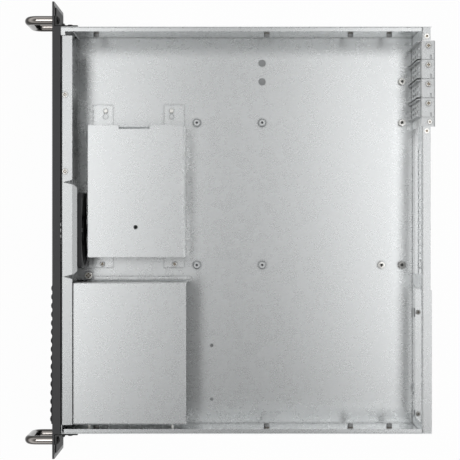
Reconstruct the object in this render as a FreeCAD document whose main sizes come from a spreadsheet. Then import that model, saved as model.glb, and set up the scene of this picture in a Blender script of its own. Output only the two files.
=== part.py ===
"""Rackmount server case, two units high, with its top cover off.

X runs from the left ear to the right ear as seen from the front, Y from the front to the rear and Z
up.  The origin is under the middle of the case.  Every length is in millimetres and comes from the
sheet of sizes.
"""
import FreeCAD, Part
import math
import os

import Sketcher
from FreeCAD import Vector

doc = FreeCAD.newDocument("rack_case")

# ---------------------------------------------------------------------------------------------
# Driving dimensions: name, value, meaning
# ---------------------------------------------------------------------------------------------

DIMENSIONS = [
    ("panel_width", 482.6, "front panel, from ear to ear"),
    ("panel_height", 88.1, "front panel, two rack units less the play"),
    ("panel_sheet", 2.0, "front panel thickness"),
    ("panel_lip", 8.6, "depth of the panel's folded lips, from its face"),
    ("panel_corner", 2.0, "corner radius of the ears"),
    ("panel_gap", 9.2, "panel face to front wall"),
    ("top_gap", 1.1, "panel's top to the case body's top"),
    ("ear_reach", 26.3, "ear beyond the case body"),
    ("sheet", 1.0, "galvanised sheet thickness"),
    ("bend", 1.5, "outer radius of a fold"),
    ("seam", 0.3, "play between two sheet parts"),
    ("screw_play", 0.2, "radial play round a screw"),
    ("side_flange", 5.4, "inward top flange of a side wall"),
    ("pan_overhang", 0.3, "base pan in front of the front wall"),
    ("corner_tab", 4.0, "tab at the left front corner, beyond the side flange"),
    ("corner_tab_deep", 4.6, "depth of that tab"),
    ("corner_cut", 3.0, "front wall to the start of the right side flange"),
    ("corner_cut_deep", 2.0, "depth of the step in the right side wall's corner"),
    ("wall_hole", 3.0, "small hole in the left side wall"),
    ("wall_hole_back", 9.0, "drive cage to that hole"),
    ("wall_hole_z", 55.0, "height of that hole"),
    ("rear_recess", 10.5, "rear edge to the rear wall's inner face"),
    ("rear_flange_cut", 1.3, "rear flange, shorter beside the power supply window"),
    ("shelf_reach", 4.3, "slot shelf beyond the rear edge"),
    ("rack_slot_in", 8.75, "ear's end to the rack slots"),
    ("rack_slot_end", 5.95, "panel's upper or lower edge to the rack slots"),
    ("rack_slot_long", 10.5, "rack slot length"),
    ("rack_slot_tall", 6.8, "rack slot height"),
    ("handle_reach", 32.0, "handle in front of the panel"),
    ("handle_bar", 9.3, "handle bar diameter"),
    ("handle_in", 18.0, "ear's end to the handle"),
    ("handle_end", 16.55, "panel's upper or lower edge to a handle post"),
    ("handle_bend", 9.0, "handle bend radius at the bar's centre line"),
    ("handle_screw", 4.8, "handle screw diameter"),
    ("handle_screw_depth", 12.0, "thread depth in a handle post"),
    ("handle_head", 9.0, "handle screw head diameter"),
    ("handle_head_tall", 3.0, "handle screw head height"),
    ("bracket_sheet", 1.2, "ear bracket thickness"),
    ("bracket_reach", 24.4, "ear bracket along the side wall"),
    ("bracket_wing", 21.0, "ear bracket behind the ear"),
    ("bracket_step", 11.4, "ear bracket beside the rack slots"),
    ("bracket_margin", 2.0, "ear bracket below the panel's top edge"),
    ("bracket_clear", 1.0, "ear bracket's play round a rack slot"),
    ("ear_screw", 3.2, "ear bracket screw diameter"),
    ("ear_head", 6.5, "ear bracket screw head diameter"),
    ("ear_head_tall", 2.4, "ear bracket screw head height"),
    ("ear_screw_back", 17.55, "panel face to ear bracket screws"),
    ("ear_screw_end", 14.05, "panel's upper or lower edge to a bracket screw"),
    ("front_flange", 11.8, "front wall's top flange"),
    ("front_flange_in", 8.8, "side wall to the front wall's top flange"),
    ("visor_reach", 4.8, "sloping lip over the fan"),
    ("visor_drop", 3.4, "fall of the sloping lip"),
    ("visor_corner", 3.4, "cut corner of the sloping lip"),
    ("notch_left_out", 10.7, "fan to the left notch in the front flange"),
    ("notch_right_out", 9.0, "fan to the right notch"),
    ("notch_wide", 5.0, "notch width at its mouth"),
    ("notch_tip", 2.4, "front wall to the notch's tip"),
    ("return_deep", 11.0, "front wall's side returns"),
    ("return_hem", 3.0, "inward hem on a side return"),
    ("foot_deep", 10.0, "front wall's bottom flange"),
    ("tongue_deep", 25.9, "reach of the tongue on the bottom flange"),
    ("tongue_wide", 15.0, "width of the tongue"),
    ("tongue_out", 5.1, "tongue's middle to the bay box"),
    ("tongue_screw_back", 21.0, "front wall to the tongue's screw"),
    ("fan_low", 2.2, "fan above the underside of the floor"),
    ("fan_under", 4.8, "fan below the case body's top"),
    ("fan_deep", 20.0, "fan frame depth"),
    ("fan_out", 15.1, "fan to the bay box"),
    ("fan_rim", 2.0, "fan's edge to its duct"),
    ("fan_hole_in", 4.25, "fan's edge to its screws"),
    ("fan_flange", 3.6, "thickness of the fan frame's end plates"),
    ("fan_wall", 1.4, "thickness of the fan's duct between its end plates"),
    ("fan_corner", 4.0, "corner radius of the fan frame"),
    ("fan_screw", 3.9, "fan screw diameter"),
    ("fan_head", 7.6, "fan screw head diameter"),
    ("fan_head_tall", 2.2, "fan screw head height"),
    ("fan_screw_long", 11.0, "fan screw below its head"),
    ("hub_wide", 32.0, "rotor hub diameter"),
    ("hub_deep", 14.0, "rotor hub depth"),
    ("hub_gap", 0.8, "rotor hub to the fan frame's struts"),
    ("blade_count", 7, "rotor blades"),
    ("blade_tip_gap", 1.0, "rotor blade tip to duct"),
    ("blade_deep", 12.0, "rotor blade depth along the axis"),
    ("blade_thick", 1.6, "rotor blade thickness"),
    ("blade_root_turn", 54.0, "turn of a blade at the hub, degrees"),
    ("blade_tip_turn", 28.0, "turn of a blade at its tip, degrees"),
    ("blade_growth", 0.9, "growth of a blade's chord from root to tip"),
    ("blade_lean", 6.0, "sideways lean of a blade at its tip"),
    ("blade_camber", 0.05, "camber of a blade, as a share of its chord"),
    ("shaft", 3.0, "rotor shaft diameter"),
    ("shaft_play", 0.05, "radial play of the shaft"),
    ("shaft_short", 0.3, "shaft's end inside the fan frame's hub"),
    ("sleeve_wide", 7.2, "bearing sleeve diameter"),
    ("strut_wide", 4.0, "fan strut width"),
    ("strut_deep", 2.4, "fan strut depth"),
    ("strut_bite", 0.5, "end of a strut inside the duct's wall"),
    ("bay_wall_gap", 8.6, "bay box to the right side wall"),
    ("bay_wide", 150.3, "bay box, across"),
    ("bay_front", 21.75, "panel face to bay box"),
    ("bay_deep", 119.1, "bay box, front to rear"),
    ("bay_under", 2.5, "bay box below the case body's top"),
    ("bay_low", 3.0, "bay box, lower edge of its right side"),
    ("bay_foot", 4.1, "bay box foot flange"),
    ("bay_foot_start", 14.4, "bay box front to its foot flange"),
    ("bay_foot_tail", 2.6, "foot flange beyond the box"),
    ("bead_z", 42.5, "height of the pressed bead"),
    ("bead_tall", 4.0, "height of the bead's foot"),
    ("bead_out", 1.2, "relief of the bead"),
    ("drive_slot_long", 9.0, "drive screw slot length"),
    ("drive_slot_wide", 3.6, "drive screw slot width"),
    ("bay_slot_front", 45.0, "bay box front to the first drive slot"),
    ("bay_slot_pitch", 52.4, "between the drive slots"),
    ("bay_slot_z", 12.0, "height of the lower drive slots"),
    ("bay_slot_rise", 41.3, "lower drive slots to upper ones"),
    ("stud_wide", 3.0, "bay stud diameter"),
    ("stud_under", 10.5, "bay studs below the bay box's top"),
    ("stud_head", 4.6, "bay stud's head in the wall"),
    ("stud_front", 15.9, "bay box front to the first stud"),
    ("stud_pitch", 88.2, "between the studs"),
    ("stud_nut", 5.5, "bay stud nut across flats"),
    ("stud_nut_tall", 2.4, "bay stud nut thickness"),
    ("cover_in", 1.15, "bay box's side to the bay covers"),
    ("cover_seam", 0.25, "gap above and below a bay cover"),
    ("cover_sheet", 2.4, "bay cover plate"),
    ("cover_gap", 0.2, "play round the bay covers"),
    ("cover_tilt", 0.5, "turn of the upper bay cover, degrees"),
    ("cover_skirt", 14.0, "bay cover side arms"),
    ("cover_arm", 1.6, "thickness of the side arms"),
    ("cover_arm_in", 0.6, "bay cover's end to its side arm"),
    ("cover_arm_low", 8.3, "bay cover's lower edge to its side arms"),
    ("cover_arm_tall", 25.0, "height of the side arms"),
    ("rib_end", 1.3, "bay cover's end to its first rib"),
    ("rib_wide", 7.4, "rib width"),
    ("rib_out", 1.6, "rib relief"),
    ("rib_count", 16, "ribs on a bay cover"),
    ("rib_margin", 3.0, "rib end to cover edge"),
    ("cage_out", 26.0, "drive cage to the bay box"),
    ("cage_long", 142.0, "drive cage, across the case"),
    ("cage_front", 33.65, "panel face to drive cage"),
    ("cage_deep", 104.0, "drive cage, front to rear"),
    ("cage_top", 62.0, "drive cage, top"),
    ("foot_wide", 22.0, "cage foot, front to rear"),
    ("foot_left", 26.0, "cage foot beyond the left end"),
    ("foot_right", 12.0, "cage foot beyond the right end"),
    ("foot_inset", 1.6, "cage foot inside the cage's outer face"),
    ("foot_screw_out", 8.3, "cage end to its screws"),
    ("foot_screw_in", 11.9, "cage face to its screws"),
    ("pin_out", 19.7, "cage end to the keyhole pins"),
    ("pin_in", 15.5, "cage face to the keyhole pins"),
    ("pin_neck", 2.8, "keyhole pin neck"),
    ("pin_head", 5.0, "keyhole pin head"),
    ("pin_head_tall", 1.2, "keyhole pin head height"),
    ("pin_play", 0.1, "keyhole pin head above the cage's foot"),
    ("keyhole", 6.0, "wide end of a keyhole"),
    ("keyhole_shift", 6.5, "keyhole pin to the wide end"),
    ("tab_long", 34.0, "sunk tab on the cage's top, with its end cuts"),
    ("tab_cut", 0.9, "width of the cut at each end of the tab"),
    ("tab_drop", 2.2, "how far the tab is sunk"),
    ("tab_deep", 4.2, "depth of the tab"),
    ("tab_y", 50.8, "cage front to the tab's middle"),
    ("cage_hole", 4.4, "hole in the cage's top"),
    ("cage_hole_x", 109.6, "cage left end to that hole"),
    ("cage_hole_y", 52.5, "cage front to that hole"),
    ("drive_hole", 3.8, "drive screw hole in the cage"),
    ("drive_hole_z", 9.0, "height of the lower drive holes"),
    ("drive_hole_rise", 29.0, "lower drive holes to upper ones"),
    ("drive_hole_x", 29.0, "cage left end to the first drive hole"),
    ("drive_hole_pitch", 41.6, "between the outer drive holes"),
    ("window_x", 45.0, "cage left end to its rear window"),
    ("window_long", 51.0, "rear window length"),
    ("window_z", 20.0, "rear window, lower edge"),
    ("window_tall", 12.0, "rear window height"),
    ("floor_screw", 2.9, "floor screw diameter"),
    ("floor_head", 5.4, "floor screw head diameter"),
    ("floor_head_tall", 1.8, "floor screw head height"),
    ("floor_washer", 9.4, "washer face of the tongue's screw"),
    ("board_in", 149.9, "connector window's left side to the nearest hole column of the mainboard"),
    ("board_y", 22.35, "rear edge to the rear row of mainboard holes"),
    ("board_wide", 157.48, "mainboard holes, across"),
    ("board_extra", 45.72, "outer column for wide boards"),
    ("board_step", 22.86, "offset of the corner hole"),
    ("board_long", 154.94, "mainboard holes, rear row to middle row"),
    ("board_front", 72.39, "mainboard holes, middle row to front row"),
    ("board_gap", 12.67, "mainboard's front holes to the drive cage"),
    ("post_tall", 6.5, "mainboard above the floor"),
    ("post_flats", 7.0, "standoff across flats"),
    ("post_low_flats", 8.0, "low standoff across flats"),
    ("post_low_tall", 4.0, "low standoff height"),
    ("post_thread", 2.6, "standoff thread bore"),
    ("post_blind", 0.8, "standoff, floor to the end of its bore"),
    ("post_shank", 3.4, "standoff shank in the floor"),
    ("dome_base", 9.6, "pressed dome, foot diameter"),
    ("dome_crown", 6.6, "pressed dome, crown diameter"),
    ("spare_hole", 8.0, "spare holes in the floor"),
    ("spare_pitch", 20.6, "between the spare holes"),
    ("small_hole", 3.8, "small holes in the floor"),
    ("small_hole_in", 26.7, "right side wall to the second small hole"),
    ("small_hole_pitch", 59.5, "between the small holes"),
    ("small_hole_out", 25.75, "bay box to the small holes"),
    ("io_out", 18.1, "first slot cover's middle to the connector window"),
    ("io_wide", 158.75, "connector window, across"),
    ("io_low", 5.3, "connector window, lower edge"),
    ("io_tall", 44.45, "connector window, height"),
    ("vent_pitch", 8.0, "between the rear vents"),
    ("vent_wide", 5.8, "rear vent width"),
    ("vent_above", 5.25, "connector window to the rear vents"),
    ("vent_under", 10.0, "rear vents below the case body's top"),
    ("vent_in", 27.6, "connector window's left side to the first rear vent"),
    ("vent_count", 17, "rear vents"),
    ("psu_in", 16.0, "power supply window to the right side wall"),
    ("psu_wide", 135.0, "power supply window, across"),
    ("psu_low", 4.5, "power supply window, lower edge"),
    ("psu_under", 5.0, "power supply window below the case body's top"),
    ("psu_lug", 6.0, "radius of the screw lugs in the window"),
    ("psu_lug_slope", 4.0, "sloping side of a screw lug"),
    ("psu_side", 6.0, "power supply window beside the right screw lug"),
    ("psu_hole", 4.0, "power supply screw hole"),
    ("psu_hole_out", 1.5, "power supply window's side to its screws"),
    ("psu_hole_low", 17.0, "height of the lower screw"),
    ("psu_hole_under", 6.0, "upper screws below the case body's top"),
    ("psu_foot_in", 22.5, "power supply window's right side to the lowest screw"),
    ("psu_foot_z", 7.0, "height of the lowest screw"),
    ("relief_long", 10.0, "length of the reliefs at the rear wall's foot"),
    ("slot_in", 23.34, "left side wall to the middle of the fourth slot cover"),
    ("slot_pitch", 20.32, "between slot covers"),
    ("slot_count", 4, "slot covers"),
    ("slot_wide", 14.0, "slot window width"),
    ("slot_low", 7.0, "slot window, lower end"),
    ("slot_under", 4.0, "slot window below the slot shelf"),
    ("shelf_drop", 5.0, "slot shelf below the case body's top"),
    ("shelf_left_out", 9.74, "fourth slot cover's middle to the shelf's end"),
    ("shelf_right_out", 20.0, "first slot cover's middle to the shelf's end"),
    ("shelf_lip", 6.0, "slot shelf's outer lip"),
    ("blade_wide", 18.4, "slot cover width"),
    ("blade_low", 4.0, "slot cover, lower end"),
    ("blade_fold", 3.2, "slot cover's folded edges"),
    ("tab_wide", 19.6, "slot cover tab width"),
    ("tab_reach", 12.4, "slot cover tab over the shelf"),
    ("tab_notch", 1.7, "notch depth in the tab"),
    ("tab_notch_long", 4.6, "notch length in the tab"),
    ("blade_vent", 3.0, "vent slots in a slot cover"),
    ("blade_vent_end", 8.7, "slot cover's end to its vents"),
    ("blade_vent_gap", 4.8, "between vents, one above the other"),
    ("blade_vent_rows", 3, "rows of vents"),
    ("slot_screw", 3.0, "slot screw diameter"),
    ("slot_head", 5.8, "slot screw head diameter"),
    ("slot_head_tall", 2.0, "slot screw head height"),
    ("slot_screw_back", 6.4, "rear wall to the slot screws"),
    ("slot_screw_shift", 4.4, "slot screws to the left of their covers' middles"),
    ("nut_wide", 5.8, "cover nut flange"),
    ("nut_shank", 4.0, "cover nut below its flange"),
    ("nut_bore", 2.4, "cover nut thread"),
    ("nut_left_out", 4.2, "slot shelf's left end to the first cover nut"),
    ("nut_right_out", 5.0, "slot shelf's right end to the second cover nut"),
    ("nut_back", 5.2, "rear edge to the cover nuts"),
    ("rivet", 3.0, "rivet diameter"),
    ("rivet_head", 5.4, "rivet head diameter"),
    ("rivet_head_tall", 1.0, "rivet head height"),
    ("rivet_in", 27.8, "power supply window's left side to the first foot rivet"),
    ("relief_out", 4.8, "left end of a relief to its foot rivet"),
    ("rivet_wall", 10.3, "right side wall to the second foot rivet"),
    ("rivet_back", 4.2, "rear edge to the foot rivets"),
    ("shelf_rivet_in", 4.9, "slot shelf's right end to its rivet"),
    ("shelf_rivet_back", 1.6, "rear edge to the slot shelf rivet"),
    ("insert_wide", 6.0, "rail insert diameter"),
    ("insert_shank", 5.0, "rail insert in the wall"),
    ("insert_long", 4.4, "rail insert inside the wall"),
    ("insert_bore", 3.2, "rail insert thread"),
    ("insert_z", 40.0, "height of the rail inserts"),
    ("insert_front", 42.0, "panel face to the first rail insert"),
    ("insert_front_pitch", 185.0, "first rail insert to the second"),
    ("insert_rear", 40.2, "rear edge to the last rail insert"),
    ("insert_rear_pitch", 42.1, "third rail insert to the last"),
    ("flange_screw_left", 40.5, "middle of the controls to the left flange screw"),
    ("flange_screw_right", 40.4, "middle of the controls to the right flange screw"),
    ("flange_screw_in", 4.1, "front wall to the flange screws"),
    ("flange_screw", 2.9, "flange screw diameter"),
    ("flange_head", 6.4, "flange screw head diameter"),
    ("flange_head_tall", 0.9, "flange screw head height"),
    ("control_out", 14.4, "control bracket to the fan"),
    ("control_wide", 96.0, "control bracket, across"),
    ("control_low", 40.0, "control bracket, lower edge"),
    ("control_back", 6.0, "front wall to the control bracket's upright"),
    ("board_sheet", 1.6, "circuit board thickness"),
    ("control_z", 46.0, "height of the buttons"),
    ("power_x", -26.0, "middle of the controls to the power button"),
    ("power_wide", 12.0, "power button diameter"),
    ("power_travel", 1.2, "power button travel"),
    ("power_out", 0.8, "power button in front of the panel"),
    ("reset_x", -6.0, "middle of the controls to the reset button"),
    ("reset_wide", 5.0, "reset button diameter"),
    ("reset_travel", 0.8, "reset button travel"),
    ("reset_out", 0.2, "reset button in front of the panel"),
    ("button_play", 0.3, "play round a button"),
    ("button_flange", 1.0, "button's inner flange"),
    ("button_stem", 3.6, "button stem diameter"),
    ("button_stem_in", 0.5, "button stem in its switch"),
    ("switch_wide", 9.0, "switch body, across"),
    ("switch_deep", 3.2, "switch body depth"),
    ("lamp_x", 6.0, "middle of the controls to the first lamp"),
    ("lamp_pitch", 7.0, "between the lamps"),
    ("lamp_wide", 3.0, "light pipe diameter"),
    ("usb_x", 26.0, "middle of the controls to the first USB socket"),
    ("usb_pitch", 16.5, "between the USB sockets"),
    ("usb_wide", 13.2, "USB socket width"),
    ("usb_tall", 5.8, "USB socket height"),
    ("usb_wall", 0.5, "USB socket shell"),
    ("usb_tongue", 1.8, "USB socket tongue"),
    ("usb_tongue_wide", 10.2, "USB socket tongue width"),
    ("grille_pitch", 6.4, "between the fan grille's slots"),
    ("grille_wide", 3.8, "fan grille slot width"),
    ("grille_web", 2.4, "bar across the fan grille"),
    ("grille_count", 11, "fan grille slots"),
    ("intake_in", 17.0, "left side wall to the first intake slot"),
    ("intake_pitch", 6.4, "between the intake slots"),
    ("intake_wide", 3.8, "intake slot width"),
    ("intake_tall", 52.0, "intake slot height"),
    ("intake_count", 6, "intake slots"),
]


class Size:
    """A number together with the expression that gives it from the sheet."""

    def __init__(self, number, text):
        self.number = number
        self.text = text

    def join(self, other, sign, turned=False):
        left, right = (as_size(other), self) if turned else (self, as_size(other))
        results = {"+": left.number + right.number,
                   "-": left.number - right.number,
                   "*": left.number * right.number}
        number = left.number / right.number if sign == "/" else results[sign]
        return Size(number, f"({left.text} {sign} {right.text})")

    def __add__(self, other):
        return self.join(other, "+")

    def __radd__(self, other):
        return self.join(other, "+", True)

    def __sub__(self, other):
        return self.join(other, "-")

    def __rsub__(self, other):
        return self.join(other, "-", True)

    def __mul__(self, other):
        return self.join(other, "*")

    def __rmul__(self, other):
        return self.join(other, "*", True)

    def __truediv__(self, other):
        return self.join(other, "/")

    def __neg__(self):
        return Size(-self.number, f"(0 - {self.text})")


def as_size(value):
    return value if isinstance(value, Size) else Size(float(value), repr(float(value)))


class Sizes:
    """The driving dimensions, each as an attribute."""


s = Sizes()
sheet = doc.addObject("Spreadsheet::Sheet", "sizes")
for row, (alias, number, meaning) in enumerate(DIMENSIONS, 1):
    sheet.set(f"A{row}", meaning)
    sheet.set(f"B{row}", str(number))
    sheet.setAlias(f"B{row}", alias)
    setattr(s, alias, Size(float(number), f"sizes.{alias}"))
doc.recompute()


def bind(item, name, value):
    """Tie a property to the sheet, or set it where it is a plain number."""
    if isinstance(value, Size):
        item.setExpression(name, value.text)
    else:
        setattr(item, name, value)


# ---------------------------------------------------------------------------------------------
# Pieces made from sketches
# ---------------------------------------------------------------------------------------------

GROWS_BACKWARDS = "XZ"


class Outline:
    """A sketch on one of the piece's origin planes, moved along that plane's axis."""

    def __init__(self, piece, plane, at):
        self.plane = plane
        self.sketch = piece.body.newObject("Sketcher::SketchObject", "outline")
        self.sketch.AttachmentSupport = [(piece.origin(plane + "_Plane"), "")]
        self.sketch.MapMode = "FlatFace"
        offset = as_size(at)
        if plane == GROWS_BACKWARDS:
            offset = -offset
        bind(self.sketch, "AttachmentOffset.Base.z", offset)

    def fix(self, kind, geometry, point, value):
        """Hold a point at a distance from the sketch's origin."""
        value = as_size(value)
        rule = Sketcher.Constraint(kind, -1, 1, geometry, point, value.number)
        index = self.sketch.addConstraint(rule)
        self.sketch.setExpression(f"Constraints[{index}]", value.text)

    def measure(self, kind, geometry, value):
        """Give a circle or an arc its size."""
        value = as_size(value)
        index = self.sketch.addConstraint(Sketcher.Constraint(kind, geometry, value.number))
        self.sketch.setExpression(f"Constraints[{index}]", value.text)

    def polygon(self, corners):
        spots = [Vector(as_size(x).number, as_size(y).number, 0) for x, y in corners]
        first = self.sketch.GeometryCount
        count = len(spots)
        for index in range(count):
            line = Part.LineSegment(spots[index], spots[(index + 1) % count])
            self.sketch.addGeometry(line, False)
        for index in range(count):
            following = first + (index + 1) % count
            self.sketch.addConstraint(Sketcher.Constraint("Coincident", first + index, 2, following, 1))
        for index, (x, y) in enumerate(corners):
            self.fix("DistanceX", first + index, 1, x)
            self.fix("DistanceY", first + index, 1, y)
        return self

    def box(self, x0, y0, x1, y1):
        return self.polygon([(x0, y0), (x1, y0), (x1, y1), (x0, y1)])

    def circle(self, x, y, diameter):
        x, y, diameter = as_size(x), as_size(y), as_size(diameter)
        spot = Vector(x.number, y.number, 0)
        circle = Part.Circle(spot, Vector(0, 0, 1), diameter.number / 2)
        index = self.sketch.addGeometry(circle, False)
        self.fix("DistanceX", index, 3, x)
        self.fix("DistanceY", index, 3, y)
        self.measure("Diameter", index, diameter)
        return self

    def hexagon(self, x, y, flats):
        """A hexagon with two corners along the sketch's second axis."""
        half = flats / 2
        corner = flats / math.sqrt(3)
        return self.polygon([(x, y + corner), (x - half, y + corner / 2), (x - half, y - corner / 2),
                             (x, y - corner), (x + half, y - corner / 2), (x + half, y + corner / 2)])

    def obround(self, x, y, long, wide, upright=False):
        """A slot with round ends, long from end to end."""
        reach = (long - wide) / 2
        x, y, wide = as_size(x), as_size(y), as_size(wide)
        across, along = (0, reach) if upright else (reach, 0)
        radius = wide.number / 2
        turn = 0 if upright else -math.pi / 2
        far = Vector((x + across).number, (y + along).number, 0)
        near = Vector((x - across).number, (y - along).number, 0)
        axis = Vector(0, 0, 1)
        arc_far = Part.ArcOfCircle(Part.Circle(far, axis, radius), turn, turn + math.pi)
        arc_near = Part.ArcOfCircle(Part.Circle(near, axis, radius), turn + math.pi, turn + 2 * math.pi)
        first = self.sketch.addGeometry(arc_far, False)
        second = self.sketch.addGeometry(arc_near, False)
        side_a = Part.LineSegment(arc_far.EndPoint, arc_near.StartPoint)
        side_b = Part.LineSegment(arc_near.EndPoint, arc_far.StartPoint)
        line_a = self.sketch.addGeometry(side_a, False)
        line_b = self.sketch.addGeometry(side_b, False)
        for one, end, other, start in ((first, 2, line_a, 1), (line_a, 2, second, 1),
                                       (second, 2, line_b, 1), (line_b, 2, first, 1)):
            self.sketch.addConstraint(Sketcher.Constraint("Tangent", one, end, other, start))
        self.fix("DistanceX", first, 3, x + across)
        self.fix("DistanceY", first, 3, y + along)
        self.fix("DistanceX", second, 3, x - across)
        self.fix("DistanceY", second, 3, y - along)
        self.measure("Radius", first, wide / 2)
        return self

    def hump(self, x, base, wide, rise):
        """A low arch that rises towards the negative side of the sketch's second axis."""
        half = as_size(wide) / 2
        radius = (half * half + rise * rise) / (rise * 2)
        crown = Vector(as_size(x).number, (base - rise).number, 0)
        ends = [Vector((x + half * way).number, as_size(base).number, 0) for way in (-1, 1)]
        arch = Part.Arc(ends[0], crown, ends[1])
        first = self.sketch.addGeometry(arch, False)
        start, end = arch.StartPoint, arch.EndPoint
        line = self.sketch.addGeometry(Part.LineSegment(end, start), False)
        for one, other in ((2, 1), (1, 2)):
            self.sketch.addConstraint(Sketcher.Constraint("Coincident", first, one, line, other))
        for point, way in ((1, -1), (2, 1)) if start.x < end.x else ((1, 1), (2, -1)):
            self.fix("DistanceX", first, point, x + half * way)
            self.fix("DistanceY", first, point, base)
        self.measure("Radius", first, radius)
        return self

    def axis(self, x):
        """A construction line along the sketch's second axis, to turn a profile about."""
        x = as_size(x)
        line = Part.LineSegment(Vector(x.number, 0, 0), Vector(x.number, 1, 0))
        index = self.sketch.addGeometry(line, True)
        for point, height in ((1, 0.0), (2, 1.0)):
            self.fix("DistanceX", index, point, x)
            self.fix("DistanceY", index, point, height)
        return self


class Piece:
    """One solid part, or a group of like parts, built as a PartDesign body."""

    def __init__(self, name):
        self.body = doc.addObject("PartDesign::Body", name)
        self.body.Label = name
        doc.recompute()

    def origin(self, role):
        return next(item for item in self.body.Origin.OriginFeatures if item.Role == role)

    def draw(self, plane, at=0.0):
        return Outline(self, plane, at)

    def volume(self):
        shape = self.body.Shape
        return 0.0 if shape.isNull() else shape.Volume

    def feature(self, kind, name):
        return self.body.newObject(f"PartDesign::{kind}", name)

    def done(self, feature, before, adds):
        """Recompute and make sure that the feature added or took material."""
        self.body.Tip = feature
        doc.recompute()
        change = self.volume() - before
        if not feature.isValid() or ((change <= 0) if adds else (change >= 0)):
            raise RuntimeError(f"{self.body.Label}: {feature.Name} failed, volume change {change}")
        return feature

    def pad(self, outline, length):
        """Grow an outline towards the positive side of its plane's axis."""
        before = self.volume()
        pad = self.feature("Pad", "pad")
        pad.Profile = outline.sketch
        bind(pad, "Length", length)
        pad.Reversed = outline.plane == GROWS_BACKWARDS
        return self.done(pad, before, True)

    def cut(self, outline, depth):
        """Take an outline away towards the positive side of its plane's axis."""
        before = self.volume()
        pocket = self.feature("Pocket", "cut")
        pocket.Profile = outline.sketch
        bind(pocket, "Length", depth)
        pocket.Reversed = outline.plane != GROWS_BACKWARDS
        return self.done(pocket, before, False)

    def turn(self, outline, removes=False):
        """Revolve a half profile about the outline's own axis line."""
        before = self.volume()
        turned = self.feature("Groove" if removes else "Revolution", "turn")
        turned.Profile = outline.sketch
        turned.ReferenceAxis = (outline.sketch, ["Axis0"])
        turned.Angle = 360.0
        return self.done(turned, before, not removes)

    def repeat(self, feature, axis, step, count, adds=False):
        """Repeat a feature along an origin axis."""
        before = self.volume()
        pattern = self.feature("LinearPattern", "row")
        pattern.Originals = [feature]
        pattern.Direction = (self.origin(axis + "_Axis"), [""])
        pattern.Mode = "Spacing"
        bind(pattern, "Offset", step)
        bind(pattern, "Occurrences", count)
        return self.done(pattern, before, adds)

    def edges(self, test):
        """Names of the tip's straight edges whose middle and direction pass a test."""
        names = []
        for index, edge in enumerate(self.body.Tip.Shape.Edges, 1):
            if not isinstance(edge.Curve, Part.Line):
                continue
            ends = [vertex.Point for vertex in edge.Vertexes]
            middle = (ends[0] + ends[1]) / 2
            direction = (ends[1] - ends[0]).normalize()
            if test(middle, direction):
                names.append(f"Edge{index}")
        return names

    def dress(self, kind, name, size, test):
        base = self.body.Tip
        names = self.edges(test)
        if not names:
            raise RuntimeError(f"{self.body.Label}: no edge to {kind.lower()}")
        dressed = self.feature(kind, name)
        dressed.Base = (base, names)
        bind(dressed, "Radius" if kind == "Fillet" else "Size", size)
        self.body.Tip = dressed
        doc.recompute()
        if not dressed.isValid():
            raise RuntimeError(f"{self.body.Label}: {dressed.Name} failed")
        return dressed

    def fillet(self, radius, test):
        return self.dress("Fillet", "round", radius, test)


def along(direction, axis):
    """Whether a unit direction lies along an axis."""
    return abs(getattr(direction, axis)) > 0.999


def near(number, size):
    """Whether a number is at a size, to a hundredth of a millimetre."""
    return abs(number - as_size(size).number) < 0.01


RIM_SHARE = 0.55
CROWN_SHARE = 0.68


def screw_profile(piece, plane, across, middle, at, head, head_tall, shank, long, out):
    """A screw whose axis stands on a sketch plane's second axis.

    The head's underside is at the given place along the axis; out is +1 where the head points
    towards the positive side and -1 where it points the other way.
    """
    tip = at - long * out
    rim = at + head_tall * RIM_SHARE * out
    crown = at + head_tall * out
    outline = piece.draw(plane, across)
    outline.polygon([(middle, tip), (middle + shank / 2, tip), (middle + shank / 2, at),
                     (middle + head / 2, at), (middle + head / 2, rim),
                     (middle + head / 2 * CROWN_SHARE, crown), (middle, crown)])
    outline.axis(middle)
    return piece.turn(outline)


# ---------------------------------------------------------------------------------------------
# Places worked out from the driving dimensions
# ---------------------------------------------------------------------------------------------

half_panel = s.panel_width / 2
half_body = half_panel - s.ear_reach
wall_inside = half_body - s.sheet
body_height = s.panel_height - s.top_gap
case_depth = (s.cage_front + s.cage_deep + s.board_gap + s.board_front + s.board_long + s.board_y)
panel_face = s.handle_reach - (s.handle_reach + case_depth + s.shelf_reach) / 2
panel_back = panel_face + s.panel_sheet
rear_edge = panel_face + case_depth
wall_face = panel_face + s.panel_gap
wall_back = wall_face + s.sheet
pan_front = wall_face - s.pan_overhang
rear_inside = rear_edge - s.rear_recess
rear_outside = rear_inside + s.sheet
flange_under = body_height - s.sheet
middle_z = s.panel_height / 2

bay_left = wall_inside - s.bay_wall_gap - s.bay_wide
bay_right = bay_left + s.bay_wide
bay_middle = bay_left + s.bay_wide / 2
bay_top = body_height - s.bay_under
bay_front = panel_face + s.bay_front
bay_rear = bay_front + s.bay_deep
bay_studs = [bay_front + s.stud_front, bay_front + s.stud_front + s.stud_pitch]
stud_z = bay_top - s.stud_under
cover_wide = s.bay_wide - s.cover_in * 2
cover_tall = (s.panel_height - s.panel_sheet * 2 - s.cover_seam * 3) / 2
rib_pitch = (cover_wide - s.rib_wide - s.rib_end * 2) / (s.rib_count - 1)

cage_front = panel_face + s.cage_front
cage_rear = cage_front + s.cage_deep
cage_left = bay_left - s.cage_out - s.cage_long
cage_right = cage_left + s.cage_long
cage_screws = [(cage_right + s.foot_screw_out, cage_front + s.foot_screw_in),
               (cage_right + s.foot_screw_out, cage_rear - s.foot_screw_in)]
keyhole_pins = [(cage_left - s.pin_out, cage_front + s.pin_in),
                (cage_left - s.pin_out, cage_rear - s.pin_in)]
tongue_x = bay_left - s.tongue_out
tongue_screw = (tongue_x, wall_face + s.tongue_screw_back)

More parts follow.
